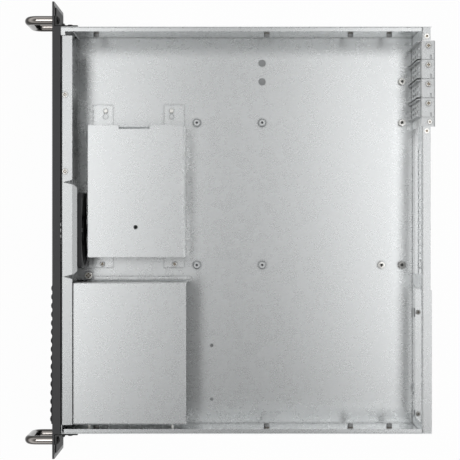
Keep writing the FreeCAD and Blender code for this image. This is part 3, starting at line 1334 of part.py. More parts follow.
def drive_cage():
    """Cage for two drives lying across the case: folded hood with long inward feet."""
    cage = Piece("drive_cage")
    profile = cage.draw("YZ", cage_left)
    inner_front = cage_front + s.sheet
    inner_rear = cage_rear - s.sheet
    profile.polygon([(cage_front, s.sheet), (inner_front, s.sheet), (inner_front, s.cage_top - s.sheet),
                     (inner_rear, s.cage_top - s.sheet), (inner_rear, s.sheet), (cage_rear, s.sheet),
                     (cage_rear, s.cage_top), (cage_front, s.cage_top)])
    cage.pad(profile, s.cage_long)
    cage.fillet(s.bend, lambda middle, way: along(way, "x") and near(middle.z, s.cage_top))

    feet = cage.draw("XY", s.sheet)
    left_end = cage_left - s.foot_left
    right_end = cage_right + s.foot_right
    for face, way in ((cage_front, 1), (cage_rear, -1)):
        outer = face + s.foot_inset * way
        inner = face + (s.foot_wide + s.foot_inset) * way
        feet.polygon([(left_end, outer), (cage_left, outer), (cage_left, face), (cage_right, face),
                      (cage_right, outer), (right_end, outer), (right_end, inner), (left_end, inner)])
    cage.pad(feet, s.sheet)

    foot_holes = cage.draw("XY", s.sheet)
    for x, y in cage_screws:
        foot_holes.circle(x, y, s.floor_screw + s.screw_play * 2)
    for x, y in keyhole_pins:
        foot_holes.circle(x + s.keyhole_shift, y, s.keyhole)
    cage.cut(foot_holes, s.sheet)
    necks = cage.draw("XY", s.sheet)
    for x, y in keyhole_pins:
        necks.obround(x + s.keyhole_shift / 2, y, s.keyhole_shift + s.pin_neck + s.screw_play * 2,
                      s.pin_neck + s.screw_play * 2)
    cage.cut(necks, s.sheet)

    top = cage.draw("XY", s.cage_top - s.sheet)
    tab_y = cage_front + s.tab_y
    bend_x = cage_left + s.tab_deep
    half = s.tab_long / 2
    top.box(cage_left, tab_y - half, bend_x, tab_y + half)
    top.circle(cage_left + s.cage_hole_x, cage_front + s.cage_hole_y, s.cage_hole)
    cage.cut(top, s.sheet)
    tab = cage.draw("XZ", tab_y - half + s.tab_cut)
    low = s.cage_top - s.tab_drop
    tab.polygon([(bend_x, s.cage_top - s.sheet), (bend_x, s.cage_top), (bend_x - s.tab_drop, low),
                 (cage_left, low), (cage_left, low - s.sheet), (bend_x - s.tab_drop, low - s.sheet)])
    cage.pad(tab, s.tab_long - s.tab_cut * 2)

    drive_holes = cage.draw("XZ", cage_front)
    for rise in (0, s.drive_hole_rise):
        for step in (0, 1):
            drive_holes.circle(cage_left + s.drive_hole_x + s.drive_hole_pitch * step,
                               s.drive_hole_z + rise, s.drive_hole)
    cage.cut(drive_holes, s.cage_deep)
    window = cage.draw("XZ", inner_rear)
    window.box(cage_left + s.window_x, s.window_z, cage_left + s.window_x + s.window_long,
               s.window_z + s.window_tall)
    cage.cut(window, s.sheet)
    return cage


def bay_box():
    """Hood for two wide drives beside the side wall, with a pressed bead and a foot flange."""
    box = Piece("bay_box")
    t = s.sheet
    left = bay_left
    right = bay_right
    top = bay_top
    low = s.bead_z - s.bead_tall / 2
    high = s.bead_z + s.bead_tall / 2
    section = box.draw("XZ", bay_front)
    section.polygon([(left, t), (left + t, t), (left + t, low), (left + t - s.bead_out, s.bead_z),
                     (left + t, high), (left + t, top - t), (right - t, top - t),
                     (right - t, s.bay_low), (right, s.bay_low), (right, top), (left, top),
                     (left, high), (left - s.bead_out, s.bead_z), (left, low)])
    box.pad(section, s.bay_deep)
    box.fillet(s.bend, lambda middle, way: along(way, "y") and near(middle.z, top))
    foot = box.draw("XY", t)
    start = bay_front + s.bay_foot_start
    tail = bay_rear + s.bay_foot_tail
    foot.polygon([(left - s.bay_foot, start), (left + t, start), (left + t, bay_rear),
                  (left, bay_rear), (left - s.bay_foot / 2, tail), (left - s.bay_foot, tail)])
    box.pad(foot, t)

    slots = box.draw("YZ", left)
    for step in (0, 1):
        for rise in (0, s.bay_slot_rise):
            slots.obround(bay_front + s.bay_slot_front + s.bay_slot_pitch * step,
                          s.bay_slot_z + rise, s.drive_slot_long, s.drive_slot_wide)
    box.cut(slots, s.bay_wide)
    step_over = box.draw("YZ", left)
    step_over.box(bay_front, t, wall_face + s.tongue_deep + s.seam, t * 2 + s.seam)
    box.cut(step_over, t)
    stud_holes = box.draw("YZ", right - t)
    for y in bay_studs:
        stud_holes.circle(y, stud_z, s.stud_wide + s.screw_play * 2)
    box.cut(stud_holes, t)
    return box


# ---------------------------------------------------------------------------------------------
# Controls behind the front panel
# ---------------------------------------------------------------------------------------------

def control_bracket():
    """Angle under the front flange that carries the control board."""
    bracket = Piece("control_bracket")
    half = s.control_wide / 2
    top = flange_under
    profile = bracket.draw("YZ", control_x - half)
    profile.polygon([(wall_back + s.seam, top - s.sheet), (control_upright, top - s.sheet),
                     (control_upright, s.control_low), (control_upright + s.sheet, s.control_low),
                     (control_upright + s.sheet, top), (wall_back + s.seam, top)])
    bracket.pad(profile, s.control_wide)
    holes = bracket.draw("XY", top - s.sheet)
    for x, y in flange_screws:
        holes.circle(x, y, s.flange_screw + s.screw_play * 2)
    bracket.cut(holes, s.sheet)
    return bracket


def control_board():
    board = Piece("control_board")
    half = s.control_wide / 2 - s.sheet * 2
    outline = board.draw("XZ", board_face)
    outline.box(control_x - half, s.control_low + s.sheet, control_x + half,
                s.control_z * 2 - s.control_low - s.sheet)
    board.pad(outline, s.board_sheet)
    return board


def button(name, x, wide, out):
    """Round button with an inner flange and a stem that slides in its switch."""
    cap = Piece(name)
    front = panel_face - out
    flange_front = panel_back + s.button_play
    flange_back = flange_front + s.button_flange
    for at, end, diameter in ((front, flange_front, wide),
                              (flange_front, flange_back, wide + s.button_flange * 2),
                              (flange_back, switch_front + s.button_stem_in, s.button_stem)):
        outline = cap.draw("XZ", at)
        outline.circle(x, s.control_z, diameter)
        cap.pad(outline, end - at)
    return cap


def switch_body(name, x, travel):
    """Square switch on the board, bored as deep as its button's stem travels."""
    body = Piece(name)
    half = s.switch_wide / 2
    outline = body.draw("XZ", switch_front)
    outline.box(x - half, s.control_z - half, x + half, s.control_z + half)
    body.pad(outline, s.switch_deep)
    bore = body.draw("XZ", switch_front)
    bore.circle(x, s.control_z, s.button_stem + s.button_play * 2)
    body.cut(bore, s.button_stem_in + travel + s.button_play)
    return body


def light_pipes():
    pipes = Piece("light_pipes")
    for x in lamps:
        outline = pipes.draw("XZ", panel_face - s.reset_out)
        outline.circle(x, s.control_z, s.lamp_wide)
        pipes.pad(outline, board_face - panel_face + s.reset_out)
    return pipes


def usb_sockets():
    """Two sockets, each a folded shell with a contact tongue."""
    sockets = Piece("usb_sockets")
    front = panel_back - s.panel_sheet / 2
    for x in usb_places:
        shell = sockets.draw("XZ", front)
        half = s.usb_wide / 2
        rise = s.usb_tall / 2
        shell.box(x - half, s.control_z - rise, x + half, s.control_z + rise)
        sockets.pad(shell, board_face - front)
    for x in usb_places:
        half = s.usb_wide / 2 - s.usb_wall
        rise = s.usb_tall / 2 - s.usb_wall
        mouth = sockets.draw("XZ", front)
        mouth.box(x - half, s.control_z - rise, x + half, s.control_z + rise)
        sockets.cut(mouth, board_face - front - s.sheet)
        tongue = sockets.draw("XZ", front + s.sheet)
        tongue.box(x - s.usb_tongue_wide / 2, s.control_z + rise - s.usb_tongue - s.seam,
                   x + s.usb_tongue_wide / 2, s.control_z + rise - s.seam * 2)
        sockets.pad(tongue, board_face - front - s.sheet * 2)
    return sockets


# ---------------------------------------------------------------------------------------------
# Fasteners
# ---------------------------------------------------------------------------------------------

def handle_screws():
    screws = Piece("handle_screws")
    seat = panel_back + s.bracket_sheet
    long = s.panel_sheet + s.bracket_sheet + s.handle_screw_depth - s.sheet
    for side in (-1, 1):
        for z in handle_rows:
            screw_profile(screws, "XY", z, handle_x * side, seat, s.handle_head,
                          s.handle_head_tall, s.handle_screw, long, 1)
    return screws


def ear_screws():
    """Screws through the ear brackets into the side walls; they lie along X."""
    screws = Piece("ear_screws")
    seat = half_body + s.bracket_sheet
    tip = wall_inside - s.seam - s.sheet * 2
    for side in (-1, 1):
        for z in ear_rows:
            for start, end, diameter in ((tip, seat, s.ear_screw),
                                         (seat, seat + s.ear_head_tall, s.ear_head)):
                disc = screws.draw("YZ", start if side > 0 else -end)
                disc.circle(ear_screw_y, z, diameter)
                screws.pad(disc, end - start)
    return screws


def upright_screws(name, places, seat, head, head_tall, shank, long):
    screws = Piece(name)
    for x, y in places:
        screw_profile(screws, "XZ", y, x, seat, head, head_tall, shank, long, 1)
    return screws


def floor_screws():
    """Two cage screws and the wider screw in the front wall's tongue."""
    screws = upright_screws("floor_screws", cage_screws, s.sheet * 2, s.floor_head,
                            s.floor_head_tall, s.floor_screw, s.sheet * 2)
    washer = screws.draw("XY", s.sheet * 2)
    washer.circle(tongue_screw[0], tongue_screw[1], s.floor_washer)
    screws.pad(washer, s.floor_head_tall / 2)
    screw_profile(screws, "XZ", tongue_screw[1], tongue_screw[0], s.sheet * 2 + s.floor_head_tall / 2,
                  s.floor_head, s.floor_head_tall, s.floor_screw, s.sheet * 2, 1)
    return screws


def fan_screws():
    screws = Piece("fan_screws")
    for x, z in fan_corners:
        screw_profile(screws, "XY", z, x, wall_face, s.fan_head, s.fan_head_tall, s.fan_screw,
                      s.fan_screw_long, -1)
    return screws


def keyhole_pin_pair():
    """Headed pins riveted in the floor that hook the cage's left feet."""
    pins = Piece("keyhole_pins")
    seat = s.sheet * 2 + s.pin_play
    for x, y in keyhole_pins:
        for low, high, diameter in ((as_size(0), seat, s.pin_neck),
                                    (seat, seat + s.pin_head_tall, s.pin_head)):
            disc = pins.draw("XY", low)
            disc.circle(x, y, diameter)
            pins.pad(disc, high - low)
    return pins


def bay_stud_pair():
    """Studs pressed in the side wall that reach through the bay box to their nuts."""
    studs = Piece("bay_studs")
    box_inside = bay_right - s.sheet
    for y in bay_studs:
        for start, end, diameter in ((box_inside - s.stud_nut_tall - s.seam, wall_inside, s.stud_wide),
                                     (wall_inside, half_body, s.stud_head)):
            disc = studs.draw("YZ", start)
            disc.circle(y, stud_z, diameter)
            studs.pad(disc, end - start)
        nut = studs.draw("YZ", box_inside - s.stud_nut_tall)
        nut.hexagon(y, stud_z, s.stud_nut)
        studs.pad(nut, s.stud_nut_tall)
    return studs


def standoffs(name, places, flats, tall):
    """Hexagonal standoffs with a blind bore for a screw and a shank in the floor."""
    posts = Piece(name)
    for x, y in places:
        shank = posts.draw("XY")
        shank.circle(x, y, s.post_shank)
        posts.pad(shank, s.sheet)
        post = posts.draw("XY", s.sheet)
        post.hexagon(x, y, flats)
        posts.pad(post, tall)
    bores = posts.draw("XY", s.sheet + s.post_blind)
    for x, y in places:
        bores.circle(x, y, s.post_thread)
    posts.cut(bores, tall - s.post_blind)
    return posts


def rail_inserts():
    """Threaded inserts pressed in the side walls for slide rails."""
    inserts = Piece("rail_inserts")
    for side in (-1, 1):
        tip = wall_inside - s.insert_long
        for start, end, diameter in ((tip, wall_inside, s.insert_wide),
                                     (wall_inside, half_body, s.insert_shank)):
            discs = inserts.draw("YZ", start if side > 0 else -end)
            for y in rail_places:
                discs.circle(y, s.insert_z, diameter)
            inserts.pad(discs, end - start)
        bores = inserts.draw("YZ", tip if side > 0 else -half_body)
        for y in rail_places:
            bores.circle(y, s.insert_z, s.insert_bore)
        inserts.cut(bores, half_body - tip)
    return inserts


def cover_nut_pair():
    """Threaded inserts in the rear flange for the top cover's screws."""
    nuts = Piece("cover_nuts")
    for x, y in cover_nuts:
        for low, high, diameter in ((body_height, body_height + s.seam, s.nut_wide),
                                    (flange_under - s.sheet * 3, body_height, s.nut_shank)):
            disc = nuts.draw("XY", low)
            disc.circle(x, y, diameter)
            nuts.pad(disc, high - low)
    bores = nuts.draw("XY", flange_under - s.sheet * 3)
    for x, y in cover_nuts:
        bores.circle(x, y, s.nut_bore)
    nuts.cut(bores, s.sheet * 4 + s.seam)
    return nuts


def rear_rivets():
    rivets = upright_screws("rear_rivets", foot_rivets, s.sheet * 2, s.rivet_head,
                            s.rivet_head_tall, s.rivet, s.sheet * 2)
    screw_profile(rivets, "XZ", shelf_rivet[1], shelf_rivet[0], shelf_top, s.rivet_head,
                  s.rivet_head_tall, s.rivet, s.sheet, 1)
    return rivets


# ---------------------------------------------------------------------------------------------
# Build everything, test it and write the files
# ---------------------------------------------------------------------------------------------

def build():
    pieces = [base_pan(), front_wall(), rear_wall(), slot_shelf()]
    pieces += [slot_cover(number, x) for number, x in enumerate(slot_places, 1)]
    pieces += [front_panel(), ear_bracket("ear_bracket_left", -1), ear_bracket("ear_bracket_right", 1),
               handle("handle_left", -1), handle("handle_right", 1)]
    upper_low = s.panel_sheet + s.cover_seam * 2 + cover_tall
    pieces += [bay_cover("bay_cover_lower", s.panel_sheet + s.cover_seam, as_size(0)),
               bay_cover("bay_cover_upper", upper_low, s.cover_tilt)]
    pieces += [fan_frame(), fan_rotor(), drive_cage(), bay_box()]
    pieces += [control_bracket(), control_board(),
               button("power_button", power_x, s.power_wide, s.power_out),
               button("reset_button", reset_x, s.reset_wide, s.reset_out),
               switch_body("power_switch", power_x, s.power_travel),
               switch_body("reset_switch", reset_x, s.reset_travel),
               light_pipes(), usb_sockets()]
    pieces += [handle_screws(), ear_screws(), floor_screws(), fan_screws(), keyhole_pin_pair(),
               bay_stud_pair(), rail_inserts(), cover_nut_pair(), rear_rivets(),
               standoffs("board_standoffs", tall_posts, s.post_flats, s.post_tall),
               standoffs("hex_standoff", [low_post], s.post_low_flats, s.post_low_tall),
               upright_screws("slot_screws", slot_screws, shelf_top + s.sheet, s.slot_head,
                              s.slot_head_tall, s.slot_screw, s.sheet * 4),
               upright_screws("flange_screws", flange_screws, body_height, s.flange_head,
                              s.flange_head_tall, s.flange_screw, s.sheet * 3)]
    return [piece.body if isinstance(piece, Piece) else piece for piece in pieces]


def check(parts):
    for item in doc.Objects:
        if any(state in item.State for state in ("Invalid", "Error")):
            raise RuntimeError(f"{item.Label} failed: {item.State}")
    for part in parts:
        if part.Shape.isNull() or not part.Shape.isValid():
            raise RuntimeError(f"{part.Label} has no valid shape")


parts = build()
doc.recompute()
check(parts)
os.makedirs("parts", exist_ok=True)
for part in parts:
    part.Shape.exportStep(f"parts/{part.Label}.step")
    print(f"{part.Label}: {len(part.Shape.Solids)} solid(s), {part.Shape.Volume / 1000:.2f} cm3")
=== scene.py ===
"""Finishes an empty two-unit rackmount server case and sets it on a pale studio floor.

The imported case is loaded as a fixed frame.  Every sheet, moulding and bar gets its own node
material, and the small fasteners are rebuilt with domed heads, recesses and chamfers in the places
that the frame gives.  All lengths are in metres, in the frame's own axes.
"""

import math

import bmesh
import bpy
from bpy.props import FloatProperty, FloatVectorProperty, IntProperty, PointerProperty
from mathutils import Matrix, Vector


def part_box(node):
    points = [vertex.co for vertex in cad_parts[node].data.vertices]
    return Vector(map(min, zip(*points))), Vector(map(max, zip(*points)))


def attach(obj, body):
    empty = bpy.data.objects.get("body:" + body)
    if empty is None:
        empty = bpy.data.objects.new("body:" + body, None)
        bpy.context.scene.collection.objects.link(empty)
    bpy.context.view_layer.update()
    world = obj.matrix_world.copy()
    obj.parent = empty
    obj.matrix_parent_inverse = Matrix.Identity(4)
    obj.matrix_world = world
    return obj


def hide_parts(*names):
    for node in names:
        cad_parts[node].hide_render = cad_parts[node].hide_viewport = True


bl_info = {
    "name": "Rack Case Finisher",
    "version": (1, 0, 0),
    "blender": (4, 5, 0),
    "location": "3D View > Sidebar > Rack Case",
    "description": "Gives an empty rackmount server case its finishes, fasteners and studio",
    "category": "Object",
}

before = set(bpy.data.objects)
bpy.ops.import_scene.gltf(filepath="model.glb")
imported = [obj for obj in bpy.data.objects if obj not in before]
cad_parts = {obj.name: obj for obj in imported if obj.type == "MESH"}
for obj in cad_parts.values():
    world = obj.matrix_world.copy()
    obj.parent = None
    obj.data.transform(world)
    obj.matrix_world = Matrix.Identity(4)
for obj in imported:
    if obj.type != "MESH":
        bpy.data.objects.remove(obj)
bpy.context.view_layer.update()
MILLIMETRE = 0.001


# ---------------------------------------------------------------------------------------------
# Settings
# ---------------------------------------------------------------------------------------------

class SheetSettings(bpy.types.PropertyGroup):
    """The galvanised sheet."""

    colour: FloatVectorProperty(
        name="Zinc colour", description="Colour of the zinc coat",
        subtype="COLOR", size=3, min=0, max=1, default=(0.70, 0.715, 0.72))
    roughness: FloatProperty(
        name="Roughness", description="How matt the zinc is", min=0, max=1, default=0.277)
    spangle: FloatProperty(
        name="Spangle size", description="Size of the zinc's crystals",
        subtype="DISTANCE", min=0.001, default=0.007)
    spangle_share: FloatProperty(
        name="Spangle strength", description="How far the crystals differ in tone",
        subtype="FACTOR", min=0, max=1, default=0.025)
    grain_share: FloatProperty(
        name="Grain strength", description="How far the fine grain differs in tone",
        subtype="FACTOR", min=0, max=1, default=0.05)
    edge: FloatProperty(
        name="Edge rounding", description="Radius that a cut edge seems to have",
        subtype="DISTANCE", min=0, default=0.00025)
    crease: FloatProperty(
        name="Crease width", description="How far the shade in a corner or a seam reaches",
        subtype="DISTANCE", min=0, default=0.003)
    # Painted shade: how much the occlusion darkens the sheet deep in a corner or a seam.
    crease_painted_shade: FloatProperty(
        name="Crease shade", description="How dark the sheet gets deep in a seam",
        subtype="FACTOR", min=0, max=1, default=0.65)
    # Painted light: the sheet's upright faces are brightened by this share, standing in for the
    # lamps' light on them.
    upright_painted_light: FloatProperty(
        name="Upright gain", description="How much brighter the untouched upright faces are",
        subtype="FACTOR", min=0, max=0.4, default=0.38)


class BlackSettings(bpy.types.PropertyGroup):
    """The black panel, its brackets and the mouldings."""

    panel_colour: FloatVectorProperty(
        name="Powder coat", description="Colour of the coated front panel",
        subtype="COLOR", size=3, min=0, max=1, default=(0.05, 0.05, 0.052))
    moulding_colour: FloatVectorProperty(
        name="Moulding", description="Colour of the black plastic parts",
        subtype="COLOR", size=3, min=0, max=1, default=(0.016, 0.016, 0.018))


class BrightSettings(bpy.types.PropertyGroup):
    """Handles and fasteners."""

    handle_colour: FloatVectorProperty(
        name="Handle", description="Colour of the polished handles",
        subtype="COLOR", size=3, min=0, max=1, default=(0.62, 0.58, 0.55))
    zinc_colour: FloatVectorProperty(
        name="Screws", description="Colour of the bright fasteners",
        subtype="COLOR", size=3, min=0, max=1, default=(0.92, 0.91, 0.88))
    dark_colour: FloatVectorProperty(
        name="Low standoff", description="Colour of the grey fasteners",
        subtype="COLOR", size=3, min=0, max=1, default=(0.42, 0.42, 0.41))
    insert_colour: FloatVectorProperty(
        name="Rail inserts", description="Colour of the inserts in the side walls",
        subtype="COLOR", size=3, min=0, max=1, default=(0.38, 0.38, 0.38))
    segments: IntProperty(
        name="Segments", description="Sides of a round fastener", min=12, max=96, default=48)


class StageSettings(bpy.types.PropertyGroup):
    """Camera, lamps and floor."""

    camera_place: FloatVectorProperty(
        name="Camera", description="Place of the camera, above the open case",
        subtype="TRANSLATION", size=3, default=(0.0029, 0.0049, 1.697))
    focal_length: FloatProperty(
        name="Focal length", description="Focal length on a 36 mm sensor, in millimetres",
        min=10, default=119.56)
    shift: FloatVectorProperty(
        name="Shift", description="Lens shift, as shares of the picture's width",
        size=2, default=(-0.0078, 0.0065))
    lamp_power: FloatProperty(
        name="Lamp power", description="Power of each soft lamp", subtype="POWER",
        unit="POWER", min=0, default=5.25)
    lamp_size: FloatVectorProperty(
        name="Lamp size", description="Width and length of each soft lamp",
        subtype="XYZ_LENGTH", size=2, default=(1.6, 0.45))
    lamp_height: FloatProperty(
        name="Lamp height", description="Height of the soft lamps",
        subtype="DISTANCE", default=3.0)
    lamp_reach: FloatProperty(
        name="Lamp reach", description="Distance of the soft lamps before and behind the case",
        subtype="DISTANCE", default=0.62)
    lamp_side: FloatProperty(
        name="Lamp side", description="Place of the soft lamps along the case's width",
        subtype="DISTANCE", default=-0.10)
    sky: FloatProperty(
        name="Fill", description="Strength of the room's light overhead", min=0, default=0.2)
    horizon: FloatProperty(
        name="Horizon", description="Strength of the room's light near the horizon", min=0,
        default=1.0)
    floor_colour: FloatVectorProperty(
        name="Floor", description="Colour of the studio floor",
        subtype="COLOR", size=3, min=0, max=1, default=(0.9, 0.9, 0.9))
    # Painted shade: the floor under the case is a darker grey, seen through the case's holes.
    beneath_painted_shade: FloatVectorProperty(
        name="Beneath", description="Colour of the floor right under the case",
        subtype="COLOR", size=3, min=0, max=1, default=(0.5, 0.51, 0.52))


def sheet_settings():
    return bpy.context.scene.rack_case_sheet


def black_settings():
    return bpy.context.scene.rack_case_black


def bright_settings():
    return bpy.context.scene.rack_case_bright


def stage_settings():
    return bpy.context.scene.rack_case_stage


# ---------------------------------------------------------------------------------------------
# Node materials
# ---------------------------------------------------------------------------------------------

# Sizes of a surface's detail.
ROLLING_GRAIN = 1.6 * MILLIMETRE
ZINC_BLOTCH = 60 * MILLIMETRE
ORANGE_PEEL = 0.7 * MILLIMETRE
COAT_DUST = 30 * MILLIMETRE
SPARK_GRAIN = 0.4 * MILLIMETRE
MOULDING_WEAR = 12 * MILLIMETRE
POLISHING_MARK = 0.6 * MILLIMETRE
POLISH_CLOUD = 12 * MILLIMETRE
PLATING_STREAK = 0.8 * MILLIMETRE
RECESS_REACH = 1.6 * MILLIMETRE
BOARD_WEAVE = 1.2 * MILLIMETRE
COPPER_FIELD = 4 * MILLIMETRE
CLEAR_CLOUD = 2 * MILLIMETRE

# Heights of a surface's relief, and radii that its edges seem to have.
ZINC_RELIEF = 0.008 * MILLIMETRE
PEEL_RELIEF = 0.03 * MILLIMETRE
SPARK_RELIEF = 0.02 * MILLIMETRE
POLISH_RELIEF = 0.006 * MILLIMETRE
PLATING_RELIEF = 0.01 * MILLIMETRE
WEAVE_RELIEF = 0.01 * MILLIMETRE
COAT_EDGE = 0.5 * MILLIMETRE
MOULDING_EDGE = 0.3 * MILLIMETRE

# How far tones and roughness differ over a surface, and what is left of a colour under the painted
# shade on a bar's sides and in a fastener's recesses.
BLOTCH_SPREAD = 0.01
CRYSTAL_ROUGHNESS_SPREAD = 0.005
GRAIN_ROUGHNESS_SPREAD = 0.02
COAT_ROUGHNESS_SPREAD = 0.05
MOULDING_ROUGHNESS_SPREAD = 0.06
SIDE_PAINTED_SHADE = 0.08
RECESS_SHADE_TINT = (0.30, 0.24, 0.17)

# Fixed colours, and how much light the clear plastic lets through.
SOCKET_TIN = (0.72, 0.72, 0.70)
BLACK_STEEL = (0.03, 0.03, 0.03)
CLEAR_TINT, CLEAR_TRANSMISSION = (0.85, 0.88, 0.9), 0.75
MASK_GREEN = (0.008, 0.075, 0.03, 1)
MASK_OVER_COPPER = (0.016, 0.13, 0.05, 1)

OCCLUSION_SAMPLES = 6
BEVEL_SAMPLES = 4
WAVES_PER_CRYSTAL = 1.6

# Places of the Mix node's colour sockets, because its other sockets have the same names.
MIX_COLOUR_A, MIX_COLOUR_B, MIX_COLOUR_RESULT = 6, 7, 2


def feed(tree, socket, value):
    """Link a socket, or set it where the value is a plain one."""
    if isinstance(value, bpy.types.NodeSocket):
        tree.links.new(value, socket)
    else:
        socket.default_value = value


def new_node(tree, kind, inputs=None, **values):
    """Add a node to a tree, set its values and feed its inputs."""
    node = tree.nodes.new(kind)
    for name, value in values.items():
        setattr(node, name, value)
    for socket, value in (inputs or {}).items():
        feed(tree, node.inputs[socket], value)
    return node


class Finish:
    """A node material round one Principled shader, placed by object coordinates."""

    def __init__(self, name, roughness, metallic=0.0, coat=0.0):
        self.material = bpy.data.materials.new(name)
        self.material.use_nodes = True
        self.tree = self.material.node_tree
        self.shader = self.tree.nodes["Principled BSDF"]
        self.shader.inputs["Roughness"].default_value = roughness
        self.shader.inputs["Metallic"].default_value = metallic
        self.shader.inputs["Coat Weight"].default_value = coat
        self.coordinates = self.output("ShaderNodeTexCoord", "Object")

    def output(self, kind, name, inputs=None, **values):
        """Add a node and return one of its outputs."""
        return new_node(self.tree, kind, inputs, **values).outputs[name]

    def noise(self, size, detail=3.0, rough=0.55, stretch=(1, 1, 1)):
        """Soft noise whose patches are about a size across."""
        place = self.output("ShaderNodeMapping", "Vector",
                            {"Vector": self.coordinates, "Scale": stretch})
        return self.output("ShaderNodeTexNoise", "Fac",
                           {"Vector": place, "Scale": 1.0 / size, "Detail": detail,
                            "Roughness": rough})

    def crystals(self, size, warp):
        """Flat cells of random tone with wandering borders."""
        shake = self.output("ShaderNodeTexNoise", "Color",
                            {"Vector": self.coordinates, "Scale": WAVES_PER_CRYSTAL / size})
        shift = self.output("ShaderNodeVectorMath", "Vector",
                            {0: shake, "Scale": warp * size}, operation="SCALE")
        place = self.output("ShaderNodeVectorMath", "Vector",
                            {0: self.coordinates, 1: shift}, operation="ADD")
        cells = self.output("ShaderNodeTexVoronoi", "Color",
                            {"Vector": place, "Scale": 1.0 / size})
        return self.output("ShaderNodeSeparateColor", "Red", {"Color": cells})

    def scaled(self, value, low, high):
        """Map 0 to 1 onto a range."""
        return self.output("ShaderNodeMapRange", "Result",
                           {"Value": value, "To Min": low, "To Max": high})

    def around(self, value, middle, spread):
        """Map 0 to 1 onto a range round a middle value."""
        return self.scaled(value, middle - spread, middle + spread)

    def times(self, product, *factors):
        """The product of two or more values."""
        for factor in factors:
            product = self.output("ShaderNodeMath", "Value", {0: product, 1: factor},
                                  operation="MULTIPLY")
        return product

    def plus(self, one, other):
        """The sum of two values."""
        return self.output("ShaderNodeMath", "Value", {0: one, 1: other}, operation="ADD")

    def open_share(self, reach):
        """1 where the surface lies open, less where something stands within reach."""
        return self.output("ShaderNodeAmbientOcclusion", "AO", {"Distance": reach},
                           samples=OCCLUSION_SAMPLES)

    def upright_share(self):
        """1 on faces that stand upright, 0 on level ones."""
        normal = self.output("ShaderNodeNewGeometry", "True Normal")
        rise = self.output("ShaderNodeSeparateXYZ", "Z", {"Vector": normal})
        level = self.output("ShaderNodeMath", "Value", {0: rise}, operation="ABSOLUTE")
        return self.scaled(level, 1.0, 0.0)

    def tinted(self, colour, tone, shade=1.0):
        """A colour multiplied by a shade and by a varying tone."""
        return self.output("ShaderNodeVectorMath", "Vector",
                           {0: tuple(part * shade for part in colour), "Scale": tone},
                           operation="SCALE")

    def mixed(self, share, colour_a, colour_b):
        """The first colour where the share is 0, the second where it is 1."""
        return self.output("ShaderNodeMix", MIX_COLOUR_RESULT,
                           {"Factor": share, MIX_COLOUR_A: colour_a, MIX_COLOUR_B: colour_b},
                           data_type="RGBA")

    def surface(self, colour, roughness, height=None, bump=0.0, edge=0.0):
        """Connect what varies to the shader and return the material."""
        feed(self.tree, self.shader.inputs["Base Color"], colour)
        feed(self.tree, self.shader.inputs["Roughness"], roughness)
        if height is not None:
            relief = {"Distance": bump, "Height": height}
            if edge > 0:
                relief["Normal"] = self.output("ShaderNodeBevel", "Normal", {"Radius": edge},
                                               samples=BEVEL_SAMPLES)
            normal = self.output("ShaderNodeBump", "Normal", relief)
            feed(self.tree, self.shader.inputs["Normal"], normal)
        return self.material


# upright scales the painted light on upright faces; below 0 it paints shade on them instead.
def galvanised(name, shade=1.0, rolled=(1, 1, 1), bend=1.0, upright=1.0):
    """Zinc-coated sheet: faint crystals, rolling grain, blotches and cut edges, with painted shade
    in creases and painted light on upright faces.
    """
    look = sheet_settings()
    finish = Finish(name, look.roughness, metallic=1.0)
    crystals = finish.crystals(look.spangle, warp=0.5)
    grain = finish.noise(ROLLING_GRAIN, detail=4.0, rough=0.7, stretch=rolled)
    blotch = finish.noise(ZINC_BLOTCH, detail=3.0)
    # The tone holds painted shade in creases and seams, from occlusion, and painted light on
    # upright faces; the crystals, grain and blotches are the zinc's own.
    tone = finish.times(
        finish.around(crystals, 1.0, look.spangle_share / 2),
        finish.around(grain, 1.0, look.grain_share),
        finish.around(blotch, 1.0, BLOTCH_SPREAD),
        finish.scaled(finish.open_share(look.crease), 1.0 - look.crease_painted_shade, 1.0),
        finish.scaled(finish.upright_share(), 1.0, 1.0 + look.upright_painted_light * upright))
    rough = finish.plus(finish.around(crystals, 0.0, CRYSTAL_ROUGHNESS_SPREAD),
                        finish.around(grain, look.roughness, GRAIN_ROUGHNESS_SPREAD))
    return finish.surface(finish.tinted(look.colour, tone, shade), rough, height=grain,
                          bump=ZINC_RELIEF, edge=look.edge * bend)


def powder_coat(name, shade=1.0, roughness=0.37):
    """Satin black powder coat with its orange-peel texture and a little dust."""
    finish = Finish(name, roughness=0.5)
    peel = finish.noise(ORANGE_PEEL, detail=2.0, rough=0.5)
    dust = finish.noise(COAT_DUST, detail=5.0, rough=0.7)
    colour = finish.tinted(black_settings().panel_colour,
                           finish.scaled(dust, low=0.8, high=1.35), shade)
    return finish.surface(colour, finish.around(dust, roughness, COAT_ROUGHNESS_SPREAD),
                          height=peel, bump=PEEL_RELIEF, edge=COAT_EDGE)


def moulded(name, shade=1.0, roughness=0.48):
    """Black moulded plastic with a spark-eroded grain."""
    finish = Finish(name, roughness)
    grain = finish.noise(SPARK_GRAIN, detail=2.0)
    wear = finish.noise(MOULDING_WEAR, detail=4.0)
    colour = finish.tinted(black_settings().moulding_colour,
                           finish.scaled(wear, low=0.85, high=1.25), shade)
    return finish.surface(colour, finish.around(wear, roughness, MOULDING_ROUGHNESS_SPREAD),
                          height=grain, bump=SPARK_RELIEF, edge=MOULDING_EDGE)


